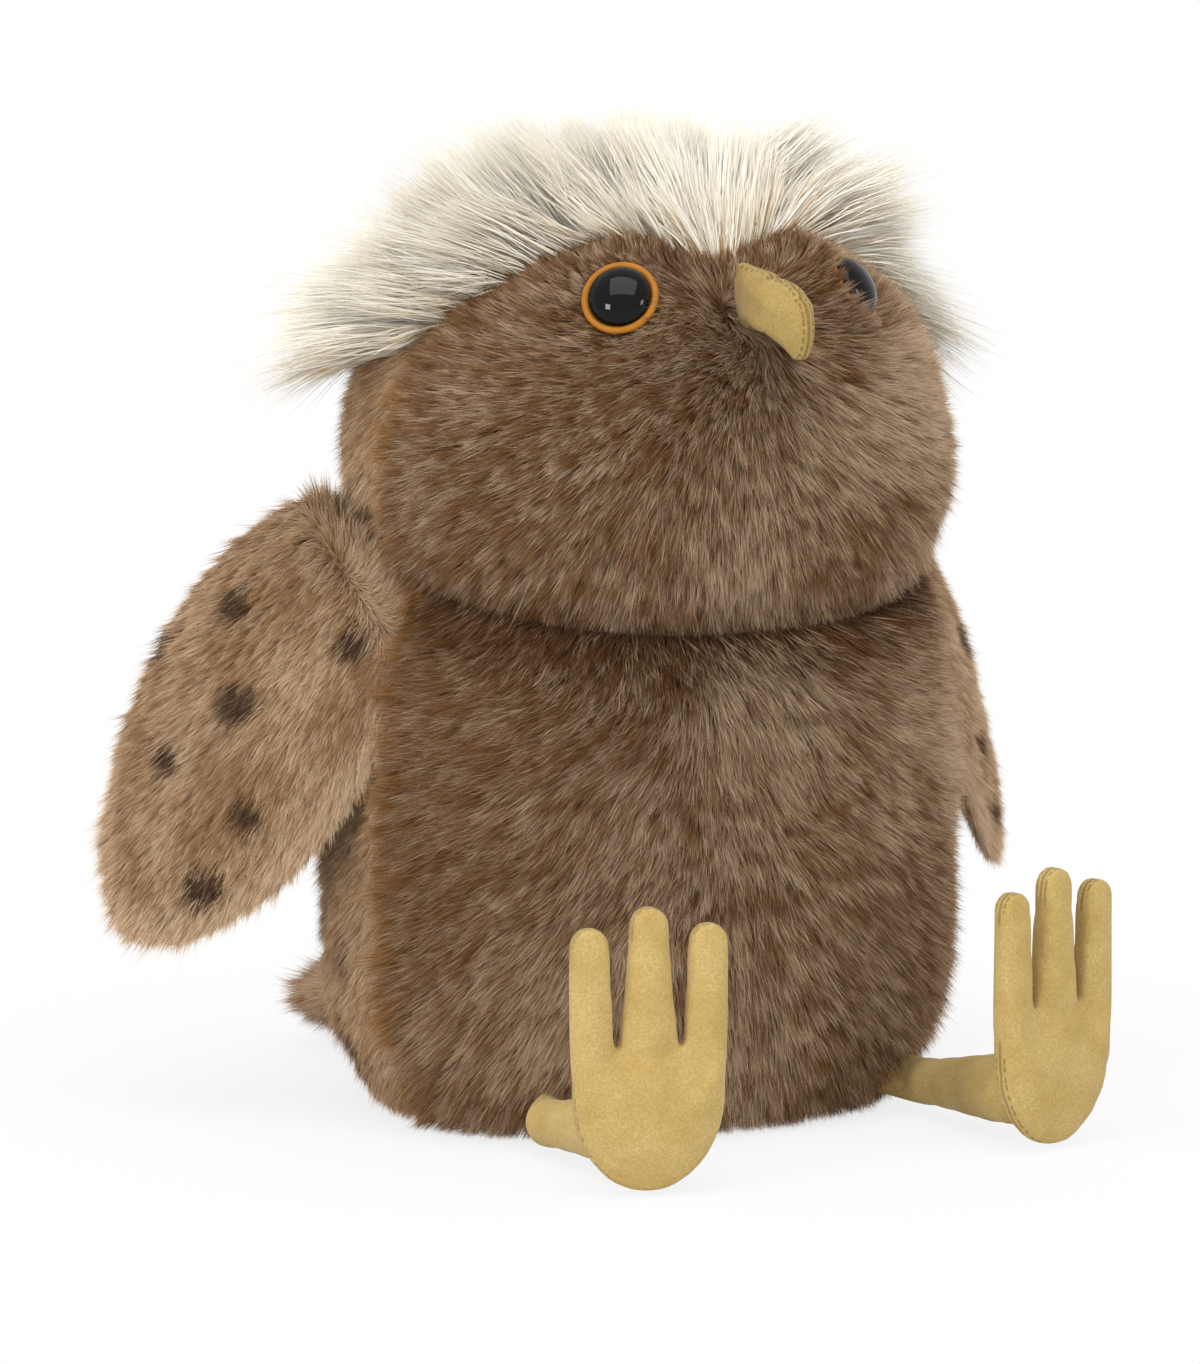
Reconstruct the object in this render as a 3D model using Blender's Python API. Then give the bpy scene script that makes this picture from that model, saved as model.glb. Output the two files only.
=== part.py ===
"""A sitting plush owl, about 31 cm tall with its fur.

Pile fabric panels are sewn round a stuffed body and head. The wings, legs, feet and tail are
stuffed pads that are sewn on and swing at their seams. The owl faces -Y and sits on the floor at
z = 0, with the origin under the middle of its body. Its own right side is at -X.
"""

import math

import bmesh
import bpy
from mathutils import Matrix, Vector
from mathutils.bvhtree import BVHTree

# Cloths and the clearances between pieces
PILE_CLOTH = 0.003
SUEDE_CLOTH = 0.0012
CROWN_CLOTH = 0.002
SEAM_GAP = 0.0004
CUT_GAP = 0.0005
CORE_GAP = 0.0012
CUT_REACH = 0.4

# Body
BODY_HALF_WIDTH = 0.101
BODY_FRONT = 0.081
BODY_BACK = 0.080
BODY_WIDEST = 0.075
BODY_ABOVE = 0.180
BODY_BELOW = 0.095
BODY_SECTION_POWER = 2.4
BODY_ABOVE_POWER = 2.2
BODY_BELOW_POWER = 3.0
BODY_SEAM_ANGLE = math.radians(76)
SEAT_CLOTH = 0.003
NECK_HEIGHT = 0.178
NECK_TILT = math.radians(16)
POUCH_HALF_WIDTH = 0.055
POUCH_HALF_DEPTH = 0.045
POUCH_HEIGHT = 0.024
POUCH_TAPER_SHARE = 0.5
POUCH_LEVEL_SHARES = (0.0, 0.35, 0.7, 1.0)

# Head
HEAD_TILT = math.radians(10)
HEAD_HALF_WIDTH = 0.096
HEAD_FRONT = 0.080
HEAD_BACK = 0.076
HEAD_WIDEST = 0.029
HEAD_ABOVE = 0.080
HEAD_BELOW = 0.080
HEAD_SECTION_POWER = 2.4
HEAD_RISE_POWER = 2.2
HEAD_SEAM_ANGLE = math.radians(84)
CROWN_PILE = 0.014
CROWN_EDGE_PILE = 0.002
CROWN_TOP_CLIMB = math.radians(86)

# Brow line, from the middle of the face round to the back: angle and climb up the head, in degrees
BROW_EASE = 6
BROW_LINE = [
    (0, 60),
    (18, 64),
    (45, 67),
    (66, 61),
    (82, 42),
    (91, 23),
    (102, 11),
    (130, 4),
    (180, 2),
]

# Eyes
EYE_ANGLE = math.radians(38)
EYE_CLIMB = math.radians(50)
EYE_RADIUS = 0.012
EYE_RIM = 0.0026
PUPIL_RADIUS = 0.0087
PUPIL_HEIGHT = 0.0056
PUPIL_RISE_SHARES = (0.0, 0.35, 0.7, 0.95)
SHANK_RADIUS = 0.0022
SHANK_LENGTH = 0.012
WASHER_RADIUS = 0.009
WASHER_THICKNESS = 0.0014
WASHER_DEPTH = 0.0062

# Beak: how far it stands out and rises, over its root on the face
BEAK_CLIMB = math.radians(53)
BEAK_REACH = 0.034
BEAK_DROP = 0.018
BEAK_HALF_THICKNESS = 0.0062

# Wings: the middle of the sewn root, the way to the tip, and the leaf in its own plane
WING_LENGTH = 0.147
WING_WIDTH = 0.083
WING_OUTER_DOME = 0.0115
WING_INNER_DOME = 0.0065
WING_ROOT_OUT = 0.0945
WING_ROOT_BACK = 0.010
WING_ROOT_HEIGHT = 0.181
WING_SPREAD = math.radians(24)
WING_TRAIL = math.radians(17)
WING_SWEEP = math.radians(25)
WING_ROOT_SLANT = math.radians(22)
WING_HEAD_GAP = 0.003

# Legs and feet
LEG_RADIUS = 0.0082
LEG_SWELL = 0.0090
LEG_SPREAD = 0.068
LEG_LENGTH = 0.053
LEG_END_SHARES = (0.96, 0.78, 0.42)
FOOT_TOE_OUT = math.radians(14)
FOOT_HALF_THICKNESS = 0.0062
FOOT_FLOOR_GAP = 0.0008
ANKLE_HEIGHT = 0.016
SOLE_HALF_WIDTH = 0.0245
SOLE_RISE = 0.031
TOE_RADIUS = 0.0062
TOE_SPACING = 0.0198
SIDE_TOE_HEIGHT = 0.081
MIDDLE_TOE_HEIGHT = 0.087
TOE_FORK_HEIGHT = 0.040
TOE_FORK_RADIUS = 0.0022
FOOT_EDGE_ROUNDING = 0.0042

# Tail
TAIL_HALF_WIDTH = 0.044
TAIL_LENGTH = 0.072
TAIL_DOME = 0.009
TAIL_ROOT_HEIGHT = 0.030
TAIL_SLOPE = math.radians(14)

# Facets, and the shares of their way in at which a pad's rings lie
DOME_SHARES = (0.0, 0.22, 0.5, 0.76)
EDGE_SHARES = (0.0, 0.5, 1.0)
PANEL_ANGLE_STEPS = 8
PANEL_CLIMB_STEPS = 8
ROUND_STEPS = 28
EYE_STEPS = 16
TUBE_STEPS = 14
SKIN_STEP = math.radians(0.5)
SEATING_STEPS = 60

RIGHT = -1
LEFT = 1
SIDES = (("right", RIGHT), ("left", LEFT))


def clear_scene():
    for obj in list(bpy.data.objects):
        bpy.data.objects.remove(obj, do_unlink=True)


def make_material(name, colour, roughness, metallic=0.0):
    material = bpy.data.materials.new(name)
    material.use_nodes = True
    surface = material.node_tree.nodes["Principled BSDF"]
    surface.inputs["Base Color"].default_value = (*colour, 1.0)
    surface.inputs["Roughness"].default_value = roughness
    surface.inputs["Metallic"].default_value = metallic
    material.diffuse_color = (*colour, 1.0)
    return material


def make_object(name, bm, material, parent=None, smooth=True):
    """An object from bm, in its parent's frame, with its faces turned outwards."""
    bmesh.ops.recalc_face_normals(bm, faces=bm.faces)
    mesh = bpy.data.meshes.new(name)
    bm.to_mesh(mesh)
    bm.free()
    mesh.materials.append(material)
    if smooth:
        mesh.shade_smooth()
        mesh.set_sharp_from_angle(angle=math.radians(50))
    obj = bpy.data.objects.new(name, mesh)
    bpy.context.scene.collection.objects.link(obj)
    obj.parent = parent
    return obj


def make_seat(name, matrix, parent=None):
    """An empty that carries pieces in a frame of their own."""
    empty = bpy.data.objects.new(name, None)
    bpy.context.scene.collection.objects.link(empty)
    empty.parent = parent
    empty.matrix_local = matrix
    return empty


def frame_at(origin, x_axis, y_axis):
    """A frame whose X and Y axes run along these directions, squared up from X."""
    x = x_axis.normalized()
    z = x.cross(y_axis).normalized()
    y = z.cross(x)
    return Matrix.Translation(origin) @ Matrix((x, y, z)).transposed().to_4x4()


def make_cutter(name, bm, parent=None):
    bmesh.ops.recalc_face_normals(bm, faces=bm.faces)
    mesh = bpy.data.meshes.new(name)
    bm.to_mesh(mesh)
    bm.free()
    obj = bpy.data.objects.new(name, mesh)
    bpy.context.scene.collection.objects.link(obj)
    obj.parent = parent
    obj.hide_render = True
    obj.display_type = "WIRE"
    return obj


def cut_away(obj, cutter):
    cut = obj.modifiers.new("cut by " + cutter.name, "BOOLEAN")
    cut.operation = "DIFFERENCE"
    cut.object = cutter
    cut.solver = "EXACT"


def loft(sections, closed=False):
    """A skin over sections in turn. A section is a ring of points or, at an end, a single point."""
    bm = bmesh.new()
    rings = [[bm.verts.new(point) for point in section] for section in sections]
    pairs = list(zip(rings, rings[1:]))
    if closed:
        pairs.append((rings[-1], rings[0]))
    for low, high in pairs:
        count = max(len(low), len(high))
        for i in range(count):
            j = (i + 1) % count
            corners = [low[i % len(low)], low[j % len(low)], high[j % len(high)], high[i % len(high)]]
            bm.faces.new(list(dict.fromkeys(corners)))
    return bm


def stacked(rings):
    """A skin over rings of one count, with a flat face over the first ring and the last."""
    bm = bmesh.new()
    levels = [[bm.verts.new(point) for point in ring] for ring in rings]
    for low, high in zip(levels, levels[1:]):
        for i in range(len(low)):
            j = (i + 1) % len(low)
            bm.faces.new((low[i], low[j], high[j], high[i]))
    bm.faces.new(levels[0])
    bm.faces.new(levels[-1])
    return bm


def sheet(outer, inner):
    """A closed sheet between two grids of points that match row by row."""
    bm = bmesh.new()
    front = [[bm.verts.new(point) for point in row] for row in outer]
    back = [[bm.verts.new(point) for point in row] for row in inner]
    for grid in (front, back):
        for low, high in zip(grid, grid[1:]):
            for i in range(len(low) - 1):
                bm.faces.new((low[i], low[i + 1], high[i + 1], high[i]))
    for rim_front, rim_back in zip(rim(front), rim(back)):
        bm.faces.new((rim_front[0], rim_front[1], rim_back[1], rim_back[0]))
    return bm


def rim(grid):
    """The edges round a grid of vertices, in order."""
    right = [row[-1] for row in grid[1:]]
    left = [row[0] for row in grid[-2:0:-1]]
    loop = grid[0] + right + grid[-1][-2::-1] + left
    return list(zip(loop, loop[1:] + loop[:1]))


class Lobe:
    """A stuffed form with rounded square sections, which closes above and below its widest level."""

    def __init__(
        self, half_width, front, back, widest, above, below, section, above_power, below_power, angles
    ):
        self.half_width = half_width
        self.front = front
        self.back = back
        self.widest = widest
        self.above = above
        self.below = below
        self.section = section
        self.above_power = above_power
        self.below_power = below_power
        self.angles = angles

    def point(self, angle, climb, inset=0.0):
        """A point on the skin, at an angle round from the front and a climb from the widest level."""
        power = self.above_power if climb > 0 else self.below_power
        rise = self.above if climb > 0 else self.below
        depth = self.front if math.cos(angle) > 0 else self.back
        reach = (abs(math.cos(climb)) ** power + abs(math.sin(climb)) ** power) ** (-1 / power)
        section = self.section
        turn = (abs(math.sin(angle)) ** section + abs(math.cos(angle)) ** section) ** (-1 / section)
        girth = reach * math.cos(climb) * turn
        x = (self.half_width - inset) * girth * math.sin(angle)
        y = -(depth - inset) * girth * math.cos(angle)
        return Vector((x, y, self.widest + (rise - inset) * reach * math.sin(climb)))

    def climb_at(self, height, inset=0.0):
        """The climb at which the skin passes this height."""
        over = height - self.widest
        rise = (self.above if over > 0 else self.below) - inset
        power = self.above_power if over > 0 else self.below_power
        share = min(abs(over) / rise, 1.0)
        return math.copysign(math.atan2(share, (1 - share**power) ** (1 / power)), over)

    def normal(self, angle, climb):
        across = self.point(angle + SKIN_STEP, climb) - self.point(angle - SKIN_STEP, climb)
        along = self.point(angle, climb + SKIN_STEP) - self.point(angle, climb - SKIN_STEP)
        return across.cross(along).normalized()

    def ring(self, climb, inset=0.0, finer=1):
        """A level ring of points at the panels' own angles, or finer between them."""
        ends = self.angles[1:] + [self.angles[0] + math.tau]
        return [
            self.point(start + (end - start) * i / finer, climb, inset)
            for start, end in zip(self.angles, ends)
            for i in range(finer)
        ]

    def grid(self, angles, low_edge, high_edge, inset=0.0):
        """Rows of points between two edges, each of which gives its climb at an angle."""
        rows = []
        for row in range(PANEL_CLIMB_STEPS + 1):
            share = row / PANEL_CLIMB_STEPS
            rows.append(
                [self.point(a, low_edge(a) + (high_edge(a) - low_edge(a)) * share, inset) for a in angles]
            )
        return rows

    def solid(self, low_climb, high_climb, inset=0.0, climb_steps=PANEL_CLIMB_STEPS, finer=1):
        """The whole form between two levels, flat at each."""
        climbs = [low_climb + (high_climb - low_climb) * i / climb_steps for i in range(climb_steps + 1)]
        rings = [self.ring(climb, inset, finer) for climb in climbs]
        bottom = Vector((0, 0, rings[0][0].z))
        top = Vector((0, 0, rings[-1][0].z))
        return loft([[bottom], *rings, [top]])


def value_between(pairs, at):
    """The value at a place on the straight runs between given pairs."""
    for (start, low), (end, high) in zip(pairs, pairs[1:]):
        if at <= end:
            share = (at - start) / (end - start)
            return low + (high - low) * share
    return pairs[-1][1]


def brow_climb(angle):
    """The brow line's climb at an angle round the head, with its corners eased."""
    around = abs(math.degrees(angle))
    around = min(around, 360 - around)
    places = [abs(min(around + ease, 360 - around - ease)) for ease in (-BROW_EASE, 0, BROW_EASE)]
    near = [value_between(BROW_LINE, place) for place in places]
    return math.radians(sum(near) / len(near))


def closed_curve(points, steps_each):
    """A smooth closed outline through points, as a Catmull-Rom curve."""
    count = len(points)
    curve = []
    for i in range(count):
        before, start, end, after = (Vector(points[(i + k) % count]) for k in (-1, 0, 1, 2))
        for step in range(steps_each):
            t = step / steps_each
            squared = (2 * before - 5 * start + 4 * end - after) * t**2
            cubed = (3 * start - before - 3 * end + after) * t**3
            curve.append((2 * start + (end - before) * t + squared + cubed) / 2)
    return curve


def inward(outline, distance):
    """The outline moved in by a distance along its normals. It runs counter-clockwise."""
    count = len(outline)
    moved = []
    for i, point in enumerate(outline):
        along = (outline[(i + 1) % count] - outline[i - 1]).normalized()
        moved.append(point + Vector((-along.y, along.x)) * distance)
    return moved


def domed_rings(outline, height, side, start):
    """Rings over an outline that draw in to its middle as they rise to a dome."""
    middle = sum(outline, Vector((0, 0))) / len(outline)
    rings = []
    for share in DOME_SHARES:
        level = Vector((0, 0, side * (start + (height - start) * (1 - (1 - share) ** 2))))
        rings.append([(middle + (point - middle) * (1 - share)).to_3d() + level for point in outline])
    top = middle.to_3d() + Vector((0, 0, side * height))
    return rings, [top]


def edged_rings(outline, height, side, start, rounding):
    """Rings over an outline that round its edge over a short way and leave a flat top."""
    rings = []
    for share in EDGE_SHARES:
        level = Vector((0, 0, side * (start + (height - start) * math.sin(share * math.pi / 2))))
        draw = rounding * (1 - math.cos(share * math.pi / 2))
        rings.append([point.to_3d() + level for point in inward(outline, draw)])
    return rings


def pad_cover(outline, height, side, cloth):
    """One half of a domed pad's cover: a thin open shell from the seam plane up."""
    outer, outer_top = domed_rings(outline, height, side, SEAM_GAP)
    inner, inner_top = domed_rings(inward(outline, cloth), height - cloth, side, SEAM_GAP)
    return loft([outer_top, *reversed(outer), *inner, inner_top])


def pad_filling(outline, up, down, cloth):
    """The stuffing between a domed pad's two covers."""
    core = inward(outline, cloth + SEAM_GAP)
    above, top = domed_rings(core, up - cloth - SEAM_GAP, 1, SEAM_GAP)
    below, bottom = domed_rings(core, down - cloth - SEAM_GAP, -1, SEAM_GAP)
    return loft([top, *reversed(above), *below, bottom])


def turned(profile, closed=False):
    """A solid of revolution about Z from (radius, height) pairs."""
    turns = [math.tau * i / EYE_STEPS for i in range(EYE_STEPS)]
    sections = []
    for radius, height in profile:
        if radius == 0:
            sections.append([Vector((0, 0, height))])
        else:
            sections.append([Vector((radius * math.cos(t), radius * math.sin(t), height)) for t in turns])
    return loft(sections, closed)


def cylinder(radius, low, high):
    return turned([(0, low), (radius, low), (radius, high), (0, high)])


def panel_angles(start, end):
    return [start + (end - start) * i / PANEL_ANGLE_STEPS for i in range(PANEL_ANGLE_STEPS + 1)]


def angles_round(seam_angle):
    """Angles right round from the front, through the seams at the front, sides and back."""
    half = panel_angles(0.0, seam_angle) + panel_angles(seam_angle, math.pi)[1:]
    return half + [math.tau - angle for angle in reversed(half[1:-1])]


body = Lobe(
    BODY_HALF_WIDTH, BODY_FRONT, BODY_BACK, BODY_WIDEST, BODY_ABOVE, BODY_BELOW,
    BODY_SECTION_POWER, BODY_ABOVE_POWER, BODY_BELOW_POWER, angles_round(BODY_SEAM_ANGLE),
)
head = Lobe(
    HEAD_HALF_WIDTH, HEAD_FRONT, HEAD_BACK, HEAD_WIDEST, HEAD_ABOVE, HEAD_BELOW,
    HEAD_SECTION_POWER, HEAD_RISE_POWER, HEAD_RISE_POWER, angles_round(HEAD_SEAM_ANGLE),
)


def half_panel_angles(start, end, side):
    """Angles across a panel on one side, drawn in a little at each seam."""
    trim = SEAM_GAP / HEAD_HALF_WIDTH
    angles = panel_angles(start, end)
    angles[0] += trim
    angles[-1] -= trim
    return [side * angle for angle in angles]


def body_top():
    """The height of the slanted neck at the back of the body."""
    return NECK_HEIGHT + BODY_BACK * math.tan(NECK_TILT)


def build_body(brown, tan, stuffing, neck_cutter):
    """Belly and back panels, the flat seat, the stuffing and the pouch of pellets low inside."""
    seat_top = SEAT_CLOTH + SEAM_GAP
    low = body.climb_at(seat_top)
    high = body.climb_at(body_top())
    for side_name, side in SIDES:
        for panel, start, end, cloth in (
            ("belly_panel", 0.0, BODY_SEAM_ANGLE, brown),
            ("back_panel", BODY_SEAM_ANGLE, math.pi, tan),
        ):
            angles = half_panel_angles(start, end, side)
            outer = body.grid(angles, lambda a: low, lambda a: high)
            inner = body.grid(angles, lambda a: low, lambda a: high, PILE_CLOTH)
            cut_away(make_object(f"{panel}_{side_name}", sheet(outer, inner), cloth), neck_cutter)

    base = [Vector((p.x, p.y, 0)) for p in body.ring(low)]
    lid = [p + Vector((0, 0, SEAT_CLOTH)) for p in base]
    make_object("seat_panel", loft([[Vector()], base, lid, [Vector((0, 0, SEAT_CLOTH))]]), tan)

    core = PILE_CLOTH + CORE_GAP
    stuffed = body.solid(body.climb_at(seat_top, core), body.climb_at(body_top(), core), core)
    filling = make_object("body_filling", stuffed, stuffing)
    cut_away(filling, neck_cutter)
    cut_away(filling, make_cutter("pouch_space", pouch(CUT_GAP)))
    make_object("pellet_pouch", pouch(0.0), tan)


def pouch(grow):
    """The squat bag of pellets that lies flat on the seat, or the space that it fills in the stuffing."""
    floor = SEAT_CLOTH + SEAM_GAP
    turns = [math.tau * i / ROUND_STEPS for i in range(ROUND_STEPS)]
    sections = []
    for share in POUCH_LEVEL_SHARES:
        width = 1 - POUCH_TAPER_SHARE * share**3
        across = POUCH_HALF_WIDTH * width + grow
        deep = POUCH_HALF_DEPTH * width + grow
        level = floor + (POUCH_HEIGHT + grow) * math.sin(share * math.pi / 2)
        sections.append([Vector((across * math.cos(t), deep * math.sin(t), level)) for t in turns])
    if grow:
        sections.insert(0, [Vector((p.x, p.y, floor - grow)) for p in sections[0]])
    bottom = Vector((0, 0, sections[0][0].z))
    top = Vector((0, 0, sections[-1][0].z))
    return loft([[bottom], *sections, [top]])


def build_head(seat, brown, tan, ivory, stuffing, neck_cutter):
    """Face, nape and crown panels round the head's stuffing."""
    under = -HEAD_FRONT * math.tan(NECK_TILT - HEAD_TILT) - PILE_CLOTH
    low = head.climb_at(under)
    trim = SEAM_GAP / HEAD_HALF_WIDTH
    pieces = {}
    for side_name, side in SIDES:
        for panel, start, end, cloth in (
            ("face_panel", 0.0, HEAD_SEAM_ANGLE, brown),
            ("nape_panel", HEAD_SEAM_ANGLE, math.pi, tan),
        ):
            angles = half_panel_angles(start, end, side)
            outer = head.grid(angles, lambda a: low, lambda a: brow_climb(a) - trim)
            inner = head.grid(angles, lambda a: low, lambda a: brow_climb(a) - trim, PILE_CLOTH)
            name = f"{panel}_{side_name}"
            pieces[name] = make_object(name, sheet(outer, inner), cloth, seat)
    pieces["crown_panel"] = make_object("crown_panel", crown(), ivory, seat)
    core = PILE_CLOTH + CORE_GAP
    filling = head.solid(head.climb_at(under, core), CROWN_TOP_CLIMB, core, PANEL_CLIMB_STEPS + 2)
    pieces["head_filling"] = make_object("head_filling", filling, stuffing, seat)
    for name in pieces:
        if name != "crown_panel":
            cut_away(pieces[name], neck_cutter)
    return pieces


def crown():
    """The long-pile cap: cloth against the stuffing, with its dense pile thinning to the brow."""
    rows = PANEL_CLIMB_STEPS + 1
    trim = SEAM_GAP / HEAD_HALF_WIDTH

    def level_ring(share, inset_at):
        ring = []
        for angle in head.angles:
            edge = brow_climb(angle) + trim
            ring.append(head.point(angle, edge + (CROWN_TOP_CLIMB - edge) * share, inset_at))
        return ring

    outer = []
    inner = []
    for row in range(rows + 1):
        share = row / rows
        pile = CROWN_EDGE_PILE + (CROWN_PILE - CROWN_EDGE_PILE) * math.sin(share * math.pi / 2)
        outer.append(level_ring(share, -pile))
        inner.append(level_ring(share, CROWN_CLOTH))
    outer_top = Vector((0, 0, head.widest + head.above + CROWN_PILE))
    inner_top = Vector((0, 0, inner[-1][0].z))
    return loft([[outer_top], *reversed(outer), *inner, [inner_top]])


def build_eyes(seat, amber, black, head_pieces):
    """Safety eyes: an amber disc with a shank through the face, a black dome, and a washer inside."""
    for side_name, side in SIDES:
        angle = side * EYE_ANGLE
        centre = head.point(angle, EYE_CLIMB)
        out = head.normal(angle, EYE_CLIMB)
        level = Vector((0, 0, 1)).cross(out)
        eye_seat = make_seat(f"eye_seat_{side_name}", frame_at(centre, level, out.cross(level)), seat)
        back = SEAM_GAP
        iris_profile = [
            (0, back + EYE_RIM),
            (PUPIL_RADIUS, back + EYE_RIM),
            (EYE_RADIUS - EYE_RIM / 2, back + EYE_RIM),
            (EYE_RADIUS, back + EYE_RIM / 2),
            (EYE_RADIUS - EYE_RIM / 2, back),
            (SHANK_RADIUS, back),
            (SHANK_RADIUS, back - SHANK_LENGTH),
            (0, back - SHANK_LENGTH),
        ]
        make_object(f"eye_iris_{side_name}", turned(iris_profile), amber, eye_seat)
        foot = back + EYE_RIM + SEAM_GAP
        pupil_profile = [(0, foot)]
        for rise in PUPIL_RISE_SHARES:
            pupil_profile.append((PUPIL_RADIUS * math.sqrt(1 - rise**2), foot + PUPIL_HEIGHT * rise))
        pupil_profile.append((0, foot + PUPIL_HEIGHT))
        make_object(f"eye_pupil_{side_name}", turned(pupil_profile), black, eye_seat)
        washer_profile = [
            (SHANK_RADIUS + SEAM_GAP, -WASHER_DEPTH),
            (WASHER_RADIUS, -WASHER_DEPTH),
            (WASHER_RADIUS, -WASHER_DEPTH + WASHER_THICKNESS),
            (SHANK_RADIUS + SEAM_GAP, -WASHER_DEPTH + WASHER_THICKNESS),
        ]
        make_object(f"eye_washer_{side_name}", turned(washer_profile, closed=True), black, eye_seat)
        shank_hole = make_cutter(
            f"shank_hole_{side_name}",
            cylinder(SHANK_RADIUS + CUT_GAP, -SHANK_LENGTH - CUT_GAP, EYE_RIM),
            eye_seat,
        )
        washer_space = make_cutter(
            f"washer_space_{side_name}",
            cylinder(WASHER_RADIUS + CUT_GAP, -WASHER_DEPTH - CUT_GAP, -PILE_CLOTH),
            eye_seat,
        )
        cut_away(head_pieces["head_filling"], shank_hole)
        cut_away(head_pieces["head_filling"], washer_space)
        cut_away(head_pieces[f"face_panel_{side_name}"], shank_hole)


def build_beak(seat, suede, stuffing, head_cutter):
    """A hooked beak of two suede halves, seamed along its middle and sewn on under the brow."""
    root = head.point(0, BEAK_CLIMB)
    forward = Vector((0, -math.cos(HEAD_TILT), math.sin(HEAD_TILT)))
    upward = Vector((0, math.sin(HEAD_TILT), math.cos(HEAD_TILT)))
    beak_seat = make_seat("beak_seat", frame_at(root, forward, upward), seat)
    outline_shares = [
        (-0.25, -0.10), (0.20, -0.36), (0.52, -0.62), (0.76, -0.88), (0.92, -1.02),
        (1.00, -0.62), (0.98, 0.02), (0.80, 0.42), (0.45, 0.54), (0.10, 0.44), (-0.15, 0.20),
    ]
    points = [(along * BEAK_REACH, up * BEAK_DROP) for along, up in outline_shares]
    outline = closed_curve(points, 2)
    pieces = []
    for side_name, side in SIDES:
        cover = pad_cover(outline, BEAK_HALF_THICKNESS, -side, SUEDE_CLOTH)
        pieces.append(make_object(f"beak_{side_name}", cover, suede, beak_seat))
    filling = pad_filling(outline, BEAK_HALF_THICKNESS, BEAK_HALF_THICKNESS, SUEDE_CLOTH)
    pieces.append(make_object("beak_filling", filling, stuffing, beak_seat))
    for piece in pieces:
        cut_away(piece, head_cutter)


def slanted_outline(outline_shares, width, length, slant):
    """A pad's outline with its sewn edge along X: nothing of it lies behind that edge."""
    turn = Matrix.Rotation(slant, 2)
    points = [turn @ Vector((across * width, down * length)) for across, down in outline_shares]
    return [Vector((p.x, max(p.y, 0.0))) for p in closed_curve(points, 2)]


def build_wing(side_name, side, tan, plain_tan, stuffing, cutters):
    """A leaf-shaped wing: spotted cloth outside, plain cloth inside, swinging at its slanted root seam."""
    out, back, down = math.tan(WING_SPREAD) * side, math.tan(WING_TRAIL), -1.0
    along = Vector((out, back, down)).normalized()
    heading = Vector((side * math.cos(WING_SWEEP), -math.sin(WING_SWEEP), 0))
    outward = (heading - along * heading.dot(along)).normalized()
    rearward = outward.cross(along) * side
    slant = WING_ROOT_SLANT
    hinge_line = rearward * math.cos(slant) - along * math.sin(slant)
    into_wing = rearward * math.sin(slant) + along * math.cos(slant)
    root = Vector((side * WING_ROOT_OUT, WING_ROOT_BACK, WING_ROOT_HEIGHT))
    seat = make_seat(f"wing_hinge_{side_name}", frame_at(root, hinge_line, into_wing))
    outline_shares = [
        (0.32, -0.074), (0.50, 0.11), (0.53, 0.33), (0.52, 0.55), (0.42, 0.77), (0.25, 0.93), (0.08, 0.995),
        (-0.10, 0.94), (-0.28, 0.81), (-0.42, 0.62), (-0.46, 0.40), (-0.43, 0.22), (-0.32, 0.074),
    ]
    outline = slanted_outline(outline_shares, WING_WIDTH, WING_LENGTH, slant)
    outer_face = -side
    outside = pad_cover(outline, WING_OUTER_DOME, outer_face, PILE_CLOTH)
    inside = pad_cover(outline, WING_INNER_DOME, -outer_face, PILE_CLOTH)
    domes = (WING_OUTER_DOME, WING_INNER_DOME)
    up, below = domes if outer_face > 0 else reversed(domes)
    filling = pad_filling(outline, up, below, PILE_CLOTH)
    pieces = [
        make_object(f"wing_outer_{side_name}", outside, tan, seat),
        make_object(f"wing_lining_{side_name}", inside, plain_tan, seat),
        make_object(f"wing_filling_{side_name}", filling, stuffing, seat),
    ]
    for piece in pieces:
        for cutter in cutters:
            cut_away(piece, cutter)


def build_tail(tan, stuffing, body_cutter):
    """A short blunt tail pad, sewn low on the back and sloping to the floor."""
    root = Vector((0, back_of_body(TAIL_ROOT_HEIGHT) + SEAM_GAP, TAIL_ROOT_HEIGHT))
    slope = Vector((0, math.cos(TAIL_SLOPE), -math.sin(TAIL_SLOPE)))
    seat = make_seat("tail_hinge", frame_at(root, Vector((1, 0, 0)), slope))
    outline_shares = [
        (-0.86, 0.0), (0.0, 0.0), (0.86, 0.0), (0.98, 0.30), (1.0, 0.62), (0.86, 0.88),
        (0.45, 0.98), (0.0, 1.0), (-0.45, 0.98), (-0.86, 0.88), (-1.0, 0.62), (-0.98, 0.30),
    ]
    outline = slanted_outline(outline_shares, TAIL_HALF_WIDTH, TAIL_LENGTH, 0.0)
    pieces = [
        make_object("tail_top", pad_cover(outline, TAIL_DOME, 1, PILE_CLOTH), tan, seat),
        make_object("tail_underside", pad_cover(outline, TAIL_DOME, -1, PILE_CLOTH), tan, seat),
        make_object("tail_filling", pad_filling(outline, TAIL_DOME, TAIL_DOME, PILE_CLOTH), stuffing, seat),
    ]
    for piece in pieces:
        cut_away(piece, body_cutter)


def back_of_body(height):
    return body.point(math.pi, body.climb_at(height)).y


def ball_seat_y(x, z, radius):
    """How far forward a ball at this x and z must lie to rest on the front of the body."""
    skin = BVHTree.FromBMesh(body.solid(body.climb_at(SEAT_CLOTH + SEAM_GAP), body.climb_at(body_top())))
    y = -BODY_FRONT - radius
    for _ in range(SEATING_STEPS):
        distance = skin.find_nearest(Vector((x, y, z)))[3]
        y += distance - radius - SEAM_GAP
    return y


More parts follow.
